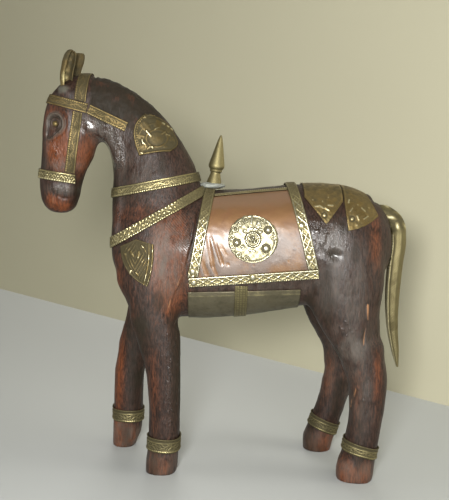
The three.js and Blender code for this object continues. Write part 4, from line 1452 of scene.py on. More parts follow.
def make_finial():
    """The turned finial on the pommel, and the lump of solder at its foot."""
    bm = bmesh.new()
    profile = along_profile(FINIAL_PROFILE)
    verts = [bm.verts.new((radius * MM, 0, rise * MM)) for radius, rise in profile]
    edges = [bm.edges.new(pair) for pair in zip(verts[:-1], verts[1:])]
    turn = {"cent": (0, 0, 0), "axis": (0, 0, 1), "angle": 2 * math.pi, "steps": FINIAL_TURNS}
    bmesh.ops.spin(bm, geom=verts + edges, use_merge=True, **turn)
    bmesh.ops.remove_doubles(bm, verts=bm.verts, dist=0.01 * MM)
    lean = Matrix.Rotation(math.radians(-FINIAL_LEAN), 4, "X")
    bm.transform(Matrix.Translation(Vector(to_frame(yz(FINIAL_FOOT)))) @ lean)
    bmesh.ops.recalc_face_normals(bm, faces=bm.faces)
    even_relief(bm, 0.75)
    finish_piece("pommel_finial", bm, "Turned brass")

    low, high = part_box("solder_blob")
    middle = (low + high) / 2
    size = (high - low) / 2
    bm = bmesh.new()
    bmesh.ops.create_icosphere(bm, subdivisions=5, radius=1)
    for vert in bm.verts:
        point = np.array(vert.co)
        swell = 1 + 0.10 * noise(point, 0.55, 51) + 0.05 * noise(point, 0.22, 52)
        vert.co = Vector(point * swell * np.array(size) * SOLDER_GROWTH)
        vert.co += middle - Vector((0, SOLDER_FORWARD * MM, 0))
    even_relief(bm, 0.6)
    finish_piece("solder_blob", bm, "Grey solder")


def along_profile(rows, steps=3):
    """A turned profile with rounded steps between its points."""
    rows = np.array(rows, float)
    result = [rows[0]]
    for before, after in zip(rows[:-1], rows[1:]):
        for step in range(1, steps + 1):
            result.append(before + (after - before) * step / steps)
    smooth = np.array(result)
    for _ in range(2):
        smooth[1:-1] = (smooth[:-2] + 2 * smooth[1:-1] + smooth[2:]) / 4
    smooth[0, 0] = smooth[-1, 0] = 0.0
    return [tuple(row) for row in smooth]


TAIL = (
    # y, z, tilt, half depth, half width
    (80.3, 45.2, 0, 0.5, 0.6), (79.1, 52, 0, 1.6, 1.4), (77.6, 60, 0, 2.3, 1.9),
    (76.6, 69, 0, 2.8, 2.4), (76.3, 81, 0, 3.3, 2.9), (76.8, 93, 0, 3.5, 3.2),
    (77.4, 103, 8, 3.7, 3.4), (76, 110.6, 38, 3.8, 3.5), (71.6, 114.4, 62, 3.8, 3.5),
    (66, 115.6, 84, 3.6, 3.2),
)


def make_tail():
    """The hanging tail, with slanting grooves, a beaded front edge and leaves at its root."""
    rows = smooth_rows(TAIL, TAIL_GRID[0])
    around = np.linspace(0, 2 * math.pi, TAIL_GRID[1])[None]
    y, z, tilt, deep, wide = (rows[:, k : k + 1] for k in range(5))
    deep, wide = highest(deep, 0.45), highest(wide, 0.45)
    travelled = travel(rows[:, :2])[:, None]
    lean = np.radians(tilt)
    rear = -np.cos(around)
    upper = ease(60, 64, travelled)
    grooves = ripple(2 * math.pi * (travelled - 0.95 * rear * deep) / 1.25) ** 1.5
    grooved = ease(0.16, 0.06, rear) * ease(-0.66, -0.58, rear) * (1 - upper)
    relief = 0.60 - 0.26 * grooves * grooved - 0.4 * ridge(rear + 0.62, 0.08) * (1 - upper)
    relief = highest(relief, 0.8 * ridge(rear - 0.14, 0.10) * (1 - upper))
    streaks = ripple(2 * math.pi * (travelled + 0.4 * rear) / 0.8)
    relief -= 0.14 * streaks * ease(0.3, 0.5, rear) * (1 - upper)
    beads = ripple(2 * math.pi * travelled / (0.62 * (1.0 + 1.2 * ease(44, 56, travelled))))
    relief = np.where(rear < -0.68, 0.7 + 0.3 * beads * ease(-0.68, -0.76, rear), relief)
    petal = ripple(2 * math.pi * (travelled + 2.2 * rear) / 5.4)
    vein = ripple(7.0 * rear + 0.9 * np.sin(0.9 * travelled)) ** 2
    relief = np.clip(relief * (1 - upper) + upper * (0.25 + 0.75 * petal * vein), 0, 1)
    grow = 0.55 * (relief - 0.62) * np.clip(deep / 2, 0.3, 1) * (1 - 0.4 * upper)
    depth_way = np.stack([0 * lean, np.cos(lean), np.sin(lean)], axis=-1)
    points = np.stack([0 * y, y, z], axis=-1) + depth_way * ((deep + grow) * rear)[..., None]
    points = points + X_AXIS * ((wide + grow) * np.sin(around))[..., None]
    low, high = box_of("tail")
    bm = grid_bmesh(np.clip(points, low, (*high[:2], np.inf)), True, relief)
    bmesh.ops.holes_fill(bm, edges=[edge for edge in bm.edges if edge.is_boundary], sides=0)
    bmesh.ops.recalc_face_normals(bm, faces=bm.faces)
    finish_piece("tail", bm, "Tail brass")


EAR = (
    # y, z, tilt, half depth, half width
    (-70.6, 162.6, -20, 1.5, 1.2), (-70.4, 165.4, -18, 2.1, 1.6), (-70.2, 168.4, -16, 2.4, 1.9),
    (-70, 171.4, -14, 2.45, 2), (-69.5, 174.4, -14, 2.5, 2), (-68.8, 177.2, -18, 2.45, 1.8),
    (-68.2, 179.2, -22, 2.1, 1.4), (-67.7, 180.3, -26, 1.5, 1), (-67.4, 180.7, -28, 0.8, 0.5),
)
EAR_X = 5.6
EAR_SLOT = 96.0
EAR_TURN = 42.0
RIGHT_EAR = (0.7, 0.05, 1.4)
STUD_RADIUS = 1.2
STUD_DEPTH = 0.95


def make_ears():
    """Cupped leaves of sheet, open to the side and the rear, with a turned rim."""
    rows = smooth_rows(EAR, EAR_GRID[0])
    share = np.linspace(-1, 1, EAR_GRID[1])[None]
    turn = share * math.radians(180 - EAR_SLOT / 2) - math.radians(EAR_TURN)
    rim = ease(0.86, 1.0, np.abs(share))
    ribs = 0.05 * np.cos(2 * math.pi * share * 3) * (1 - rim)
    for name, side in SIDES.items():
        y, z, tilt, deep, wide = (rows[:, k : k + 1] for k in range(5))
        lean = np.radians(tilt)
        if side < 0:
            y = y + RIGHT_EAR[0] + RIGHT_EAR[1] * (z - 165)
            z = z + RIGHT_EAR[2]
        along_depth = deep * np.sin(turn) * (1 + 0.08 * rim)
        outward = -wide * np.cos(turn) * (1 - 0.25 * rim) + 0.3
        depth_way = np.stack([0 * lean, np.cos(lean), np.sin(lean)], axis=-1)
        middle = np.stack([side * EAR_X + 0 * y, y, z], axis=-1)
        points = middle + depth_way * along_depth[..., None]
        points = points + X_AXIS * (side * (outward + ribs))[..., None]
        points = inside(points + 0.22 * noise(points, 2.6, 81)[..., None], 0.27)
        # A brighter patch on the ear's lower front is a painted highlight: it raises the relief
        # mark, so that it takes the rubbed colour.
        worn = sum_of_patches(points[..., 1], points[..., 2], ((-71.2, 170.0, 1.6, 4.0, 0.7),))
        relief = np.clip(0.25 + 0.1 * rim + 0.3 * noise(points, 1.6, 82) + worn, 0, 1)
        bm = grid_bmesh(points, False, relief)
        bmesh.ops.recalc_face_normals(bm, faces=bm.faces)
        piece = finish_piece(f"ear_{name}", bm, "Ear brass", wall=EAR_SHEET)
        piece.modifiers["wall"].offset = 0


def make_eyes():
    """The brass studs in the eyes."""
    for name, side in SIDES.items():
        low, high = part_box(f"eye_stud_{name}")
        middle = (low + high) / 2
        bm = bmesh.new()
        bmesh.ops.create_uvsphere(bm, u_segments=40, v_segments=24, radius=STUD_RADIUS * MM)
        bmesh.ops.rotate(bm, verts=bm.verts, matrix=Matrix.Rotation(math.pi / 2, 3, "Y"))
        bmesh.ops.scale(bm, verts=bm.verts, vec=(0.8, 1, 1))
        root = high.x - STUD_DEPTH * MM if side > 0 else low.x + STUD_DEPTH * MM
        bmesh.ops.translate(bm, verts=bm.verts, vec=(root, middle.y, middle.z))
        even_relief(bm, 0.45)
        finish_piece(f"eye_stud_{name}", bm, "Brown brass")


ANKLETS = {
    # the leg's middle as x, y and z, the band's tilt, and its height
    "left_fore": ((15.5, -24.1, 12.8), 0, 6.1),
    "right_fore": ((-15.5, -43.8, 14.8), -3, 5.8),
    "left_hind": ((17.5, 61.8, 13.7), -14, 4.9),
    "right_hind": ((-17.5, 50.5, 12.1), -20, 5.6),
}


def anklet_relief(along, across, height):
    """Slanting leaves between two lines, and a bead row below."""
    half = height / 2
    leaves = leaf_run(along, across + 0.2, half - 1.5, pitch=1.5, wave=6.0)
    leaves *= ease(half - 1.3, half - 1.7, np.abs(across + 0.1))
    lines = highest(ridge(across - half + 1.75, 0.4), 0.6 * ridge(across + half - 1.5, 0.35))
    beads = bead_row(along, across, -half + 0.65, 0.82, 0.46)
    return highest(0.85 * leaves, 0.85 * lines, beads)


def make_anklets():
    """The bands above the hooves, each with a rim turned out at its top."""
    lift, depth = ANKLET_FIT
    for name, (middle, tilt, height) in ANKLETS.items():
        lean = math.radians(tilt)
        deep = np.array([0, math.cos(lean), math.sin(lean)])
        across = np.array([0, -math.sin(lean), math.cos(lean)])
        lay = wrapped(np.array(middle), -deep, across, height, pitch=0.25, ease_passes=12)
        half = height / 2
        ragged = 1 + 0.35 * noise(lay.points, 2.4, 91)
        flare = 0.35 * ease(half - 1.0, half - 0.3, lay.across) * ragged
        bow = 0.15 * np.sin(lay.along * 0.31 + tilt) + 0.1 * noise(lay.points, 3.0, 92)
        lay.points = lay.points + across * bow[..., None]
        relief = anklet_relief(lay.along, lay.across, height)
        shine = relief * (0.75 + 0.5 * noise(lay.points, 3.2, 93))
        shine = np.clip(shine + 0.3 * ease(half - 0.9, half - 0.3, lay.across), 0, 1)
        bm = grid_bmesh(lay.raised(lift + flare + depth * relief), True, shine)
        bmesh.ops.recalc_face_normals(bm, faces=bm.faces)
        finish_piece(f"anklet_{name}", bm, "Dull brass", wall=THIN)


# ---- Materials ----


class Bench:
    """Lays out the nodes of one tree."""

    def __init__(self, tree):
        self.tree = tree

    def node(self, kind, inputs=None, **settings):
        """A node with its settings and inputs. An input is a value or another node's socket."""
        made = self.tree.nodes.new(kind)
        for name, value in settings.items():
            setattr(made, name, value)
        for name, value in (inputs or {}).items():
            if isinstance(value, bpy.types.NodeSocket):
                self.tree.links.new(value, made.inputs[name])
            else:
                made.inputs[name].default_value = value
        return made

    def math(self, operation, first, second):
        """One arithmetic step."""
        inputs = {0: first, 1: second}
        return self.node("ShaderNodeMath", inputs, operation=operation).outputs[0]

    def times(self, first, second):
        """Two values multiplied."""
        return self.math("MULTIPLY", first, second)

    def plus(self, first, second):
        """Two values added."""
        return self.math("ADD", first, second)

    def spread(self, value, low, high, to_low=0.0, to_high=1.0):
        """Value stretched from one range to another, with soft ends."""
        inputs = {0: value, 1: low, 2: high, 3: to_low, 4: to_high}
        made = self.node("ShaderNodeMapRange", inputs, interpolation_type="SMOOTHSTEP")
        return made.outputs[0]

    def blend(self, share, first, second):
        """A colour between two others."""
        inputs = {0: share, 6: first, 7: second}
        return self.node("ShaderNodeMix", inputs, data_type="RGBA").outputs[2]

    def noise(self, vector, scale, detail=3.0, rough=0.55, warp=0.0):
        """Noise from 0 to 1."""
        inputs = {"Vector": vector, "Scale": scale, "Detail": detail}
        inputs |= {"Roughness": rough, "Distortion": warp}
        return self.node("ShaderNodeTexNoise", inputs).outputs["Fac"]

    def stretched(self, vector, upwards):
        """Coordinates that stretch a pattern upwards."""
        inputs = {"Vector": vector, "Scale": (1, 1, upwards)}
        return self.node("ShaderNodeMapping", inputs, vector_type="POINT").outputs["Vector"]

    def attribute(self, name):
        """A value painted on the mesh."""
        return self.node("ShaderNodeAttribute", attribute_name=name).outputs["Fac"]


def new_group(name, inputs, outputs):
    """A node group with a vector and numbers in, and numbers out, and its two ends."""
    tree = bpy.data.node_groups.new(name, "ShaderNodeTree")
    tree.interface.new_socket("Vector", in_out="INPUT", socket_type="NodeSocketVector")
    for label, default in inputs.items():
        socket = tree.interface.new_socket(label, in_out="INPUT", socket_type="NodeSocketFloat")
        socket.default_value = default
    for label in outputs:
        tree.interface.new_socket(label, in_out="OUTPUT", socket_type="NodeSocketFloat")
    start = tree.nodes.new("NodeGroupInput")
    end = tree.nodes.new("NodeGroupOutput")
    return Bench(tree), start.outputs, end.inputs


def build_grain_group():
    """Long streaks, fine lines and blotches of varnished wood."""
    bench, given, wanted = new_group("Wood grain", {}, ("Streaks", "Lines", "Blotches", "Dimples"))
    link = bench.tree.links.new
    place = given["Vector"]
    link(bench.noise(bench.stretched(place, 0.26), 1250, 5, 0.65, 0.3), wanted["Streaks"])
    link(bench.noise(bench.stretched(place, 0.12), 2200, 3, 0.6), wanted["Lines"])
    link(bench.noise(bench.stretched(place, 0.45), 240, 6, 0.66, 0.3), wanted["Blotches"])
    link(bench.noise(bench.stretched(place, 0.5), 700, 2, 0.5), wanted["Dimples"])


def place_group(bench, name, place):
    """A node group set into a material, fed with the places on the piece."""
    group = bench.node("ShaderNodeGroup", node_tree=bpy.data.node_groups[name])
    bench.tree.links.new(place, group.inputs["Vector"])
    return group


def build_ageing_group():
    """Dirt in the hollows, rubbed high places, stains and fine marks of old sheet metal."""
    bench, given, wanted = new_group(
        "Metal ageing",
        {"Relief": 0.5, "Dirt Level": 0.35},
        ("Hollows", "Rubbed", "Stains", "Marks"),
    )
    link = bench.tree.links.new
    place = given["Vector"]
    fine = bench.math("SUBTRACT", bench.noise(place, 1400, 3), 0.5)
    uneven = bench.plus(given["Relief"], bench.times(fine, 0.35))
    above = bench.math("SUBTRACT", uneven, given["Dirt Level"])
    link(bench.spread(above, 0.25, -0.25), wanted["Hollows"])
    link(bench.spread(uneven, 0.6, 0.95), wanted["Rubbed"])
    link(bench.noise(place, 160, 4, 0.6, 0.5), wanted["Stains"])
    link(bench.noise(place, 2600, 2), wanted["Marks"])


def new_material(name, **fixed):
    """A material with a Principled shader, set to these fixed numbers."""
    material = bpy.data.materials.new(name)
    material.use_nodes = True
    tree = material.node_tree
    tree.nodes.clear()
    bench = Bench(tree)
    fixed = {label.replace("_", " "): value for label, value in fixed.items()}
    shader = bench.node("ShaderNodeBsdfPrincipled", fixed)
    bench.node("ShaderNodeOutputMaterial", {"Surface": shader.outputs["BSDF"]})
    return bench, shader, bench.node("ShaderNodeTexCoord").outputs["Object"]


def rgba(colour, gain=1.0):
    """A colour made lighter or darker, with full alpha."""
    return (*[min(channel * gain, 1.0) for channel in colour], 1.0)


def tinted(colour, gain):
    """A colour made lighter or darker."""
    return [channel * gain for channel in colour]


def add_bump(bench, shader, strength, depth, height):
    """Fine marks of a depth in millimetres."""
    inputs = {"Strength": strength, "Distance": depth * MM, "Height": height}
    bump = bench.node("ShaderNodeBump", inputs)
    bench.tree.links.new(bump.outputs["Normal"], shader.inputs["Normal"])


def build_wood(colours):
    """Dark varnished hardwood, rubbed to red-brown where hands have been."""
    bench, shader, place = new_material(
        "Varnished wood", Coat_Roughness=0.21, Specular_IOR_Level=0.26
    )
    link = bench.tree.links.new
    grain = place_group(bench, "Wood grain", place)
    streaks, lines, blotches, dimples = grain.outputs
    fine_lines = bench.math("SUBTRACT", lines, 0.5)

    streaky = bench.spread(bench.plus(streaks, bench.times(fine_lines, 0.5)), 0.30, 0.68)
    dark = bench.blend(streaky, rgba(colours.wood, 0.4), rgba(colours.wood, 1.6))
    amber = bench.blend(streaky, rgba(colours.worn, 0.55), rgba(colours.worn, 1.25))
    streak_share = bench.times(bench.math("SUBTRACT", streaks, 0.5), 1.1)
    rub = bench.plus(bench.attribute("worn"), streak_share)
    rub = bench.plus(rub, bench.math("SUBTRACT", blotches, 0.5))
    colour = bench.blend(bench.spread(rub, 0.05, 1.15), dark, amber)
    # Pale bloom on the varnish, which is also painted sheen and glare.
    bloom_and_sheen = bench.times(bench.attribute("bloom_and_sheen"), bench.spread(blotches, 0.25, 0.7))
    colour = bench.blend(bench.times(bloom_and_sheen, 0.8), colour, rgba(colours.bloom_and_sheen))
    # Soot on the mane, and painted shade in hollows, creases and along the legs' edges.
    soot_and_shade = bench.attribute("soot_and_shade")
    colour = bench.blend(bench.times(soot_and_shade, 0.85), colour, rgba(colours.soot_and_shade))
    # Bare wood on chips and scratches, and a painted highlight along the shoulder's lit edge.
    scratched = bench.spread(bench.plus(bench.attribute("bare_and_lit_edge"), fine_lines), 0.4, 1.1)
    colour = bench.blend(scratched, colour, rgba(colours.bare_and_lit_edge))
    # Putty, which also paints part of the eye rim's highlight.
    putty = bench.spread(bench.attribute("putty"), 0.3, 0.8)
    link(bench.blend(putty, colour, rgba(colours.putty)), shader.inputs["Base Color"])

    gloss = bench.attribute("gloss")
    matt = bench.plus(bench.spread(blotches, 0.3, 0.7, 0.36, 0.56), bench.times(soot_and_shade, 0.2))
    polish = bench.times(bench.times(gloss, bench.spread(dimples, 0.1, 0.42)), 0.95)
    smoothed = bench.times(matt, bench.math("SUBTRACT", 1.0, polish))
    link(bench.math("MAXIMUM", smoothed, 0.17), shader.inputs["Roughness"])
    link(bench.times(polish, 0.9), shader.inputs["Coat Weight"])
    height = bench.plus(dimples, bench.times(lines, 0.5))
    height = bench.times(height, bench.plus(bench.times(gloss, 3.2), 1.0))
    add_bump(bench, shader, 0.6, 0.35, height)


def build_metal(name, body, dirt, bright, dirt_level, rough, metallic, stain, lacquer):
    """Old sheet metal: dirty hollows, rubbed ridges, stains and fine marks."""
    bench, shader, place = new_material(
        name, Coat_Weight=lacquer, Coat_Roughness=0.28, Coat_IOR=1.9
    )
    link = bench.tree.links.new
    ageing = place_group(bench, "Metal ageing", place)
    link(bench.attribute("relief"), ageing.inputs["Relief"])
    ageing.inputs["Dirt Level"].default_value = dirt_level
    hollows, rubbed, stains, marks = ageing.outputs
    stained = bench.times(bench.spread(stains, 0.4, 0.75), stain)
    colour = bench.blend(stained, rgba(body), rgba(dirt, 2.2))
    colour = bench.blend(bench.times(rubbed, 0.8), colour, rgba(bright))
    colour = bench.blend(bench.times(hollows, 0.9), colour, rgba(dirt))
    link(colour, shader.inputs["Base Color"])
    roughness = bench.plus(bench.times(hollows, 0.25), rough)
    roughness = bench.plus(roughness, bench.times(stained, 0.3))
    roughness = bench.math("SUBTRACT", roughness, bench.times(rubbed, 0.06))
    link(roughness, shader.inputs["Roughness"])
    shine = bench.math("SUBTRACT", metallic, bench.times(hollows, 0.35))
    link(shine, shader.inputs["Metallic"])
    add_bump(bench, shader, 0.35, 0.08, marks)


def build_materials(colours):
    """Every finish on the horse."""
    build_grain_group()
    build_ageing_group()
    build_wood(colours)
    brass, brown = colours.brass, colours.brown_brass
    dirt, bright, glint = colours.brass_dirt, colours.brass_bright, colours.brass_glint
    copper = colours.copper, colours.copper_dirt, colours.copper_rubbed_and_highlight
    solder = colours.solder, colours.putty, colours.solder
    dark = colours.dark_brass, tinted(dirt, 0.6), brass
    clean = brass, tinted(dirt, 2.0), tinted(glint, 0.6)
    for name, tints, dirt_level, rough, metallic, stain, lacquer in (
        ("Aged brass", (brass, dirt, bright), 0.35, 0.36, 0.95, 0.4, 0),
        ("Bright brass", clean, 0.42, 0.34, 0.95, 0.25, 0),
        ("Pale brass", (tinted(bright, 0.68), dirt, glint), 0.28, 0.34, 0.95, 0.3, 0),
        ("Brown brass", (brown, dirt, bright), 0.35, 0.4, 0.95, 0.8, 0),
        ("Ear brass", (tinted(brown, 0.5), dirt, brass), 0.35, 0.56, 0.8, 0.9, 0),
        ("Olive brass", (tinted(brown, 0.6), dirt, bright), 0.35, 0.4, 0.95, 0.6, 0),
        ("Dull brass", (tinted(brass, 0.66), dirt, brass), 0.35, 0.42, 0.95, 0.5, 0),
        ("Turned brass", (tinted(brass, 0.64), dirt, brass), 0.1, 0.56, 0.95, 0.7, 0),
        ("Tail brass", (tinted(brass, 0.6), dirt, bright), 0.35, 0.5, 0.95, 0.7, 0),
        ("Dark brass", dark, 0.35, 0.5, 0.65, 0.35, 0),
        ("Old copper", copper, -0.4, 0.68, 0.95, 0.5, 0.6),
        ("Grey solder", solder, 0.1, 0.6, 0.35, 0.4, 0),
    ):
        build_metal(name, *tints, dirt_level, rough, metallic, stain, lacquer)


# ---- The stage ----

CAMERA_PLACE = (334.0, 0.0, 134.8)
CAMERA_PITCH = math.radians(6.57)
CAMERA_ROLL = 0.03
LENS = 54.0
WALL_AT = -0.213
FLOOR_HALF = 1.6
FLOOR_AT = 0.75
WALL_HALF = (1.6, 1.2)
WALL_TURN = math.radians(-43.5)
LAMPS = (
    # name, place in metres, size, power and colour
    ("lamp by the camera", (0.37, -0.04, 0.17), 0.07, 1.5, (1.0, 0.99, 0.97)),
    ("broad lamp in front", (0.75, 0.15, 0.13), 0.42, 1.8, (1.0, 0.985, 0.96)),
    ("low lamp in front", (0.6, 0.16, 0.06), 0.14, 0.4, (1.0, 0.985, 0.96)),
    ("softbox above", (-0.05, 0.05, 0.62), 0.5, 0.5, (1.0, 0.97, 0.9)),
    ("softbox to the side", (0.14, 0.95, 0.45), 0.5, 2.7, (1.0, 0.97, 0.9)),
    ("softbox behind", (-0.9, -0.1, 0.5), 0.6, 2.6, (1.0, 0.98, 0.94)),
    ("softbox before the head", (0.05, -0.85, 0.3), 0.4, 1.0, (1.0, 0.98, 0.94)),
)


def hide_back(bench, shader):
    """Makes a material clear on the back of its faces, so that nothing is hidden behind them."""
    back = bench.node("ShaderNodeNewGeometry").outputs["Backfacing"]
    clear = bench.node("ShaderNodeBsdfTransparent").outputs["BSDF"]
    mixed = bench.node("ShaderNodeMixShader", {0: back, 1: shader.outputs["BSDF"], 2: clear})
    output = next(node for node in bench.tree.nodes if node.type == "OUTPUT_MATERIAL")
    bench.tree.links.new(mixed.outputs[0], output.inputs["Surface"])


def make_stage(colours):
    """A pale floor and wall, soft lights, and the camera."""
    low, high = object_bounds()
    for name, colour in (("floor", colours.floor), ("wall", colours.wall)):
        bench, shader, place = new_material(
            f"Plain {name}", Roughness=0.6, Specular_IOR_Level=0.25
        )
        paint = bench.blend(bench.noise(place, 3.0, 2), rgba(colour, 0.97), rgba(colour, 1.03))
        bench.tree.links.new(paint, shader.inputs["Base Color"])
        bm = bmesh.new()
        bmesh.ops.create_grid(bm, x_segments=8, y_segments=8, size=1)
        if name == "floor":
            bmesh.ops.scale(bm, verts=bm.verts, vec=(FLOOR_HALF, FLOOR_HALF, 1))
            bmesh.ops.translate(bm, verts=bm.verts, vec=(FLOOR_AT, 0, low.z))
        else:
            bmesh.ops.rotate(bm, verts=bm.verts, matrix=Matrix.Rotation(math.pi / 2, 3, "Y"))
            bmesh.ops.scale(bm, verts=bm.verts, vec=(1, *WALL_HALF))
            bmesh.ops.rotate(bm, verts=bm.verts, matrix=Matrix.Rotation(WALL_TURN, 3, "Z"))
            bmesh.ops.translate(bm, verts=bm.verts, vec=(WALL_AT, 0, low.z + WALL_HALF[1]))
            hide_back(bench, shader)
        plane = add_object(name, to_mesh(bm, name))
        plane.data.materials.append(bpy.data.materials[f"Plain {name}"])
        plane.visible_shadow = name == "floor"
        plane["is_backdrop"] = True

    camera = bpy.data.cameras.new("camera")
    camera.lens = LENS
    camera.sensor_width = 36.0
    camera.clip_start = 0.01
    camera.clip_end = 10.0
    holder = add_object("camera", camera)
    right = Vector((0, 1, 0))
    up = Vector((-math.sin(CAMERA_PITCH), 0, math.cos(CAMERA_PITCH)))
    back = Vector((math.cos(CAMERA_PITCH), 0, math.sin(CAMERA_PITCH)))
    level, tipped = math.cos(CAMERA_ROLL), math.sin(CAMERA_ROLL)
    axes = right * level + up * tipped, up * level - right * tipped, back
    turn = Matrix(axes).transposed().to_4x4()
    holder.matrix_world = Matrix.Translation(Vector(to_frame(CAMERA_PLACE))) @ turn
    bpy.context.scene.camera = holder

    middle = (low + high) / 2
    for name, place, size, power, colour in LAMPS:
        light = bpy.data.lights.new(name, "AREA")
        light.shape = "DISK"
        light.size = size
        light.energy = power
        light.color = colour
        lamp = add_object(name, light)
        lamp.location = place
        lamp.rotation_euler = (middle - Vector(place)).to_track_quat("-Z", "Y").to_euler()

    world = bpy.data.worlds.new("room")
    world.use_nodes = True
    air = world.node_tree.nodes["Background"].inputs
    air["Color"].default_value = (0.62, 0.6, 0.5, 1)
    air["Strength"].default_value = 0.28
    bpy.context.scene.world = world
    bpy.context.scene.view_settings.view_transform = "Standard"


# ---- The add-on ----


def colour_setting(name, description, default):
    """A colour that a user can change."""
    return FloatVectorProperty(
        name=name, description=description, default=default, subtype="COLOR", min=0, max=1
    )


class HorseSizes(bpy.types.PropertyGroup):
    """Sizes of the sheet and its relief."""

    lift: FloatProperty(
        name="Lift",
        description="How far the low parts of a strap stand off the wood",
        default=0.55 * MM,
        min=0.2 * MM,
        max=1.0 * MM,
        precision=5,
        unit="LENGTH",
    )
    relief: FloatProperty(
        name="Relief",
        description="How far the embossing stands up from a strap",
        default=0.36 * MM,
        min=0.0,
        max=0.8 * MM,
        precision=5,
        unit="LENGTH",
    )
    carving: FloatProperty(
        name="Carving",
        description="How deep the carved lines and the wear of the wood are",
        default=1.0,
        min=0.0,
        max=1.5,
        subtype="FACTOR",
    )


class HorseColours(bpy.types.PropertyGroup):
    """Colours of the finishes and the stage."""

    wood: colour_setting("Wood", "Dark varnish", (0.028, 0.0145, 0.010))
    # Rubbed varnish, also painted along the shoulder's lit edge as a highlight.
    worn: colour_setting("Worn wood", "Wood where the varnish is rubbed", (0.135, 0.040, 0.014))
    # Black of the mane, also the colour of painted shade in creases, hollows and along the legs'
    # edges.
    soot_and_shade: colour_setting("Soot", "Black on the mane and in creases", (0.016, 0.012, 0.006))
    # Pale bloom on the varnish, also the colour of painted sheen and glare.
    bloom_and_sheen: colour_setting("Haze", "Bloom on the varnish", (0.108, 0.095, 0.080))
    # Fresh chips and scratches, also the colour of the painted highlight along the shoulder's lit
    # edge.
    bare_and_lit_edge: colour_setting("Bare wood", "Fresh chips and scratches", (0.34, 0.17, 0.08))
    putty: colour_setting("Putty", "Putty under the ears", (0.095, 0.09, 0.07))
    brass: colour_setting("Brass", "The body of the brass sheet", (0.36, 0.31, 0.155))
    brown_brass: colour_setting("Brown brass", "Brass gone brown", (0.245, 0.175, 0.070))
    brass_dirt: colour_setting("Brass dirt", "Dirt in the hollows", (0.060, 0.050, 0.024))
    brass_bright: colour_setting("Bright brass", "Rubbed ridges", (0.64, 0.59, 0.38))
    brass_glint: colour_setting("Brass glint", "The brightest ridges", (0.92, 0.91, 0.76))
    dark_brass: colour_setting("Dark brass", "The sheet under the belly", (0.138, 0.122, 0.078))
    copper: colour_setting("Copper", "The saddle panels", (0.26, 0.14, 0.060))
    copper_dirt: colour_setting("Copper stain", "Stains on the copper", (0.14, 0.07, 0.035))
    # Rubbed copper, also the whiter colour that paints the panels' highlight band.
    copper_rubbed_and_highlight: colour_setting("Bright copper", "Rubbed copper", (0.165, 0.135, 0.120))
    solder: colour_setting("Solder", "The lump of solder", (0.30, 0.32, 0.29))
    floor: colour_setting("Floor", "The floor", (0.46, 0.48, 0.48))
    wall: colour_setting("Wall", "The wall behind", (0.55, 0.525, 0.385))


class HorseStep:
    """What every step of the build shares."""

    bl_options = {"REGISTER", "UNDO"}


class HORSE_OT_materials(HorseStep, bpy.types.Operator):
    """Mix the finishes"""

    bl_idname = "horse.materials"
    bl_label = "Mix Finishes"

    def execute(self, context):
        build_materials(context.scene.horse_colours)
        return {"FINISHED"}


class HORSE_OT_body(HorseStep, bpy.types.Operator):
    """Carve the body"""

    bl_idname = "horse.body"
    bl_label = "Carve Body"

    def execute(self, context):
        make_body(context.scene.horse_sizes)
        return {"FINISHED"}


class HORSE_OT_ears(HorseStep, bpy.types.Operator):
    """Shape the ears"""

    bl_idname = "horse.ears"
    bl_label = "Shape Ears"

    def execute(self, context):
        make_ears()
        return {"FINISHED"}


class HORSE_OT_eyes(HorseStep, bpy.types.Operator):
    """Set the eye studs"""

    bl_idname = "horse.eyes"
    bl_label = "Set Eyes"

    def execute(self, context):
        make_eyes()
        return {"FINISHED"}


class HORSE_OT_bridle(HorseStep, bpy.types.Operator):
    """Fit the bridle"""

    bl_idname = "horse.bridle"
    bl_label = "Fit Bridle"

    def execute(self, context):
        make_bridle(context.scene.horse_sizes)
        return {"FINISHED"}


class HORSE_OT_collars(HorseStep, bpy.types.Operator):
    """Fit the collars"""

    bl_idname = "horse.collars"
    bl_label = "Fit Collars"

    def execute(self, context):
        make_collars(context.scene.horse_sizes)
        return {"FINISHED"}


class HORSE_OT_plates(HorseStep, bpy.types.Operator):
    """Nail on the neck and breast plates"""

    bl_idname = "horse.plates"
    bl_label = "Nail On Plates"

    def execute(self, context):
        make_plates(context.scene.horse_sizes)
        return {"FINISHED"}


class HORSE_OT_rump_plates(HorseStep, bpy.types.Operator):
    """Fold the rump plates over the croup"""

    bl_idname = "horse.rump_plates"
    bl_label = "Fold Rump Plates"

    def execute(self, context):
        make_rump_plates(context.scene.horse_sizes)
        return {"FINISHED"}


class HORSE_OT_saddle(HorseStep, bpy.types.Operator):
    """Build the saddle's panels and strips"""

    bl_idname = "horse.saddle"
    bl_label = "Build Saddle"

    def execute(self, context):
        make_saddle(context.scene.horse_sizes)
        return {"FINISHED"}


class HORSE_OT_medallions(HorseStep, bpy.types.Operator):
    """Emboss the medallions"""

    bl_idname = "horse.medallions"
    bl_label = "Emboss Medallions"

    def execute(self, context):
        make_medallions()
        return {"FINISHED"}


class HORSE_OT_girth(HorseStep, bpy.types.Operator):
    """Wrap the belly sheet and the girth"""

    bl_idname = "horse.girth"
    bl_label = "Wrap Girth"

    def execute(self, context):
        make_girth()
        return {"FINISHED"}


class HORSE_OT_finial(HorseStep, bpy.types.Operator):
    """Turn the finial and solder it on"""

    bl_idname = "horse.finial"
    bl_label = "Turn Finial"

    def execute(self, context):
        make_finial()
        return {"FINISHED"}


class HORSE_OT_tail(HorseStep, bpy.types.Operator):
    """Cast the tail"""

    bl_idname = "horse.tail"
    bl_label = "Cast Tail"

    def execute(self, context):
        make_tail()
        return {"FINISHED"}


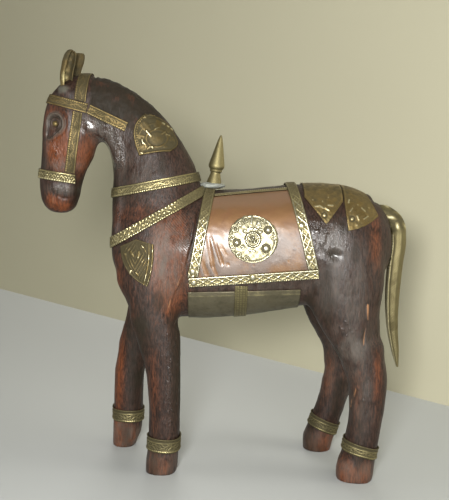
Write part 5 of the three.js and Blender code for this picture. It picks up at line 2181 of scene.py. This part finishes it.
class HORSE_OT_anklets(HorseStep, bpy.types.Operator):
    """Fit the anklets"""

    bl_idname = "horse.anklets"
    bl_label = "Fit Anklets"

    def execute(self, context):
        make_anklets()
        return {"FINISHED"}


class HORSE_OT_stage(HorseStep, bpy.types.Operator):
    """Set the floor, the lights and the camera"""

    bl_idname = "horse.stage"
    bl_label = "Set Stage"

    def execute(self, context):
        make_stage(context.scene.horse_colours)
        return {"FINISHED"}


STEPS = (
    HORSE_OT_materials,
    HORSE_OT_body,
    HORSE_OT_ears,
    HORSE_OT_eyes,
    HORSE_OT_bridle,
    HORSE_OT_collars,
    HORSE_OT_plates,
    HORSE_OT_rump_plates,
    HORSE_OT_saddle,
    HORSE_OT_medallions,
    HORSE_OT_girth,
    HORSE_OT_finial,
    HORSE_OT_tail,
    HORSE_OT_anklets,
    HORSE_OT_stage,
)


class HORSE_PT_panel(bpy.types.Panel):
    """Lists the steps of the build with their sizes and colours"""

    bl_label = "Wooden Horse"
    bl_idname = "HORSE_PT_panel"
    bl_space_type = "VIEW_3D"
    bl_region_type = "UI"
    bl_category = "Wooden Horse"

    def draw(self, context):
        layout = self.layout
        for settings in (context.scene.horse_sizes, context.scene.horse_colours):
            for name in settings.__annotations__:
                layout.prop(settings, name)
        for step in STEPS:
            layout.operator(step.bl_idname)


CLASSES = (HorseSizes, HorseColours, *STEPS, HORSE_PT_panel)


def register():
    """Makes the add-on's classes and settings known to Blender."""
    for cls in CLASSES:
        bpy.utils.register_class(cls)
    bpy.types.Scene.horse_sizes = PointerProperty(type=HorseSizes)
    bpy.types.Scene.horse_colours = PointerProperty(type=HorseColours)


def unregister():
    """Takes the add-on's classes and settings away again."""
    del bpy.types.Scene.horse_colours
    del bpy.types.Scene.horse_sizes
    for cls in reversed(CLASSES):
        bpy.utils.unregister_class(cls)


def main():
    """Builds the whole horse."""
    register()
    for step in STEPS:
        group, name = step.bl_idname.split(".")
        getattr(getattr(bpy.ops, group), name)()


if __name__ == "__main__":
    main()
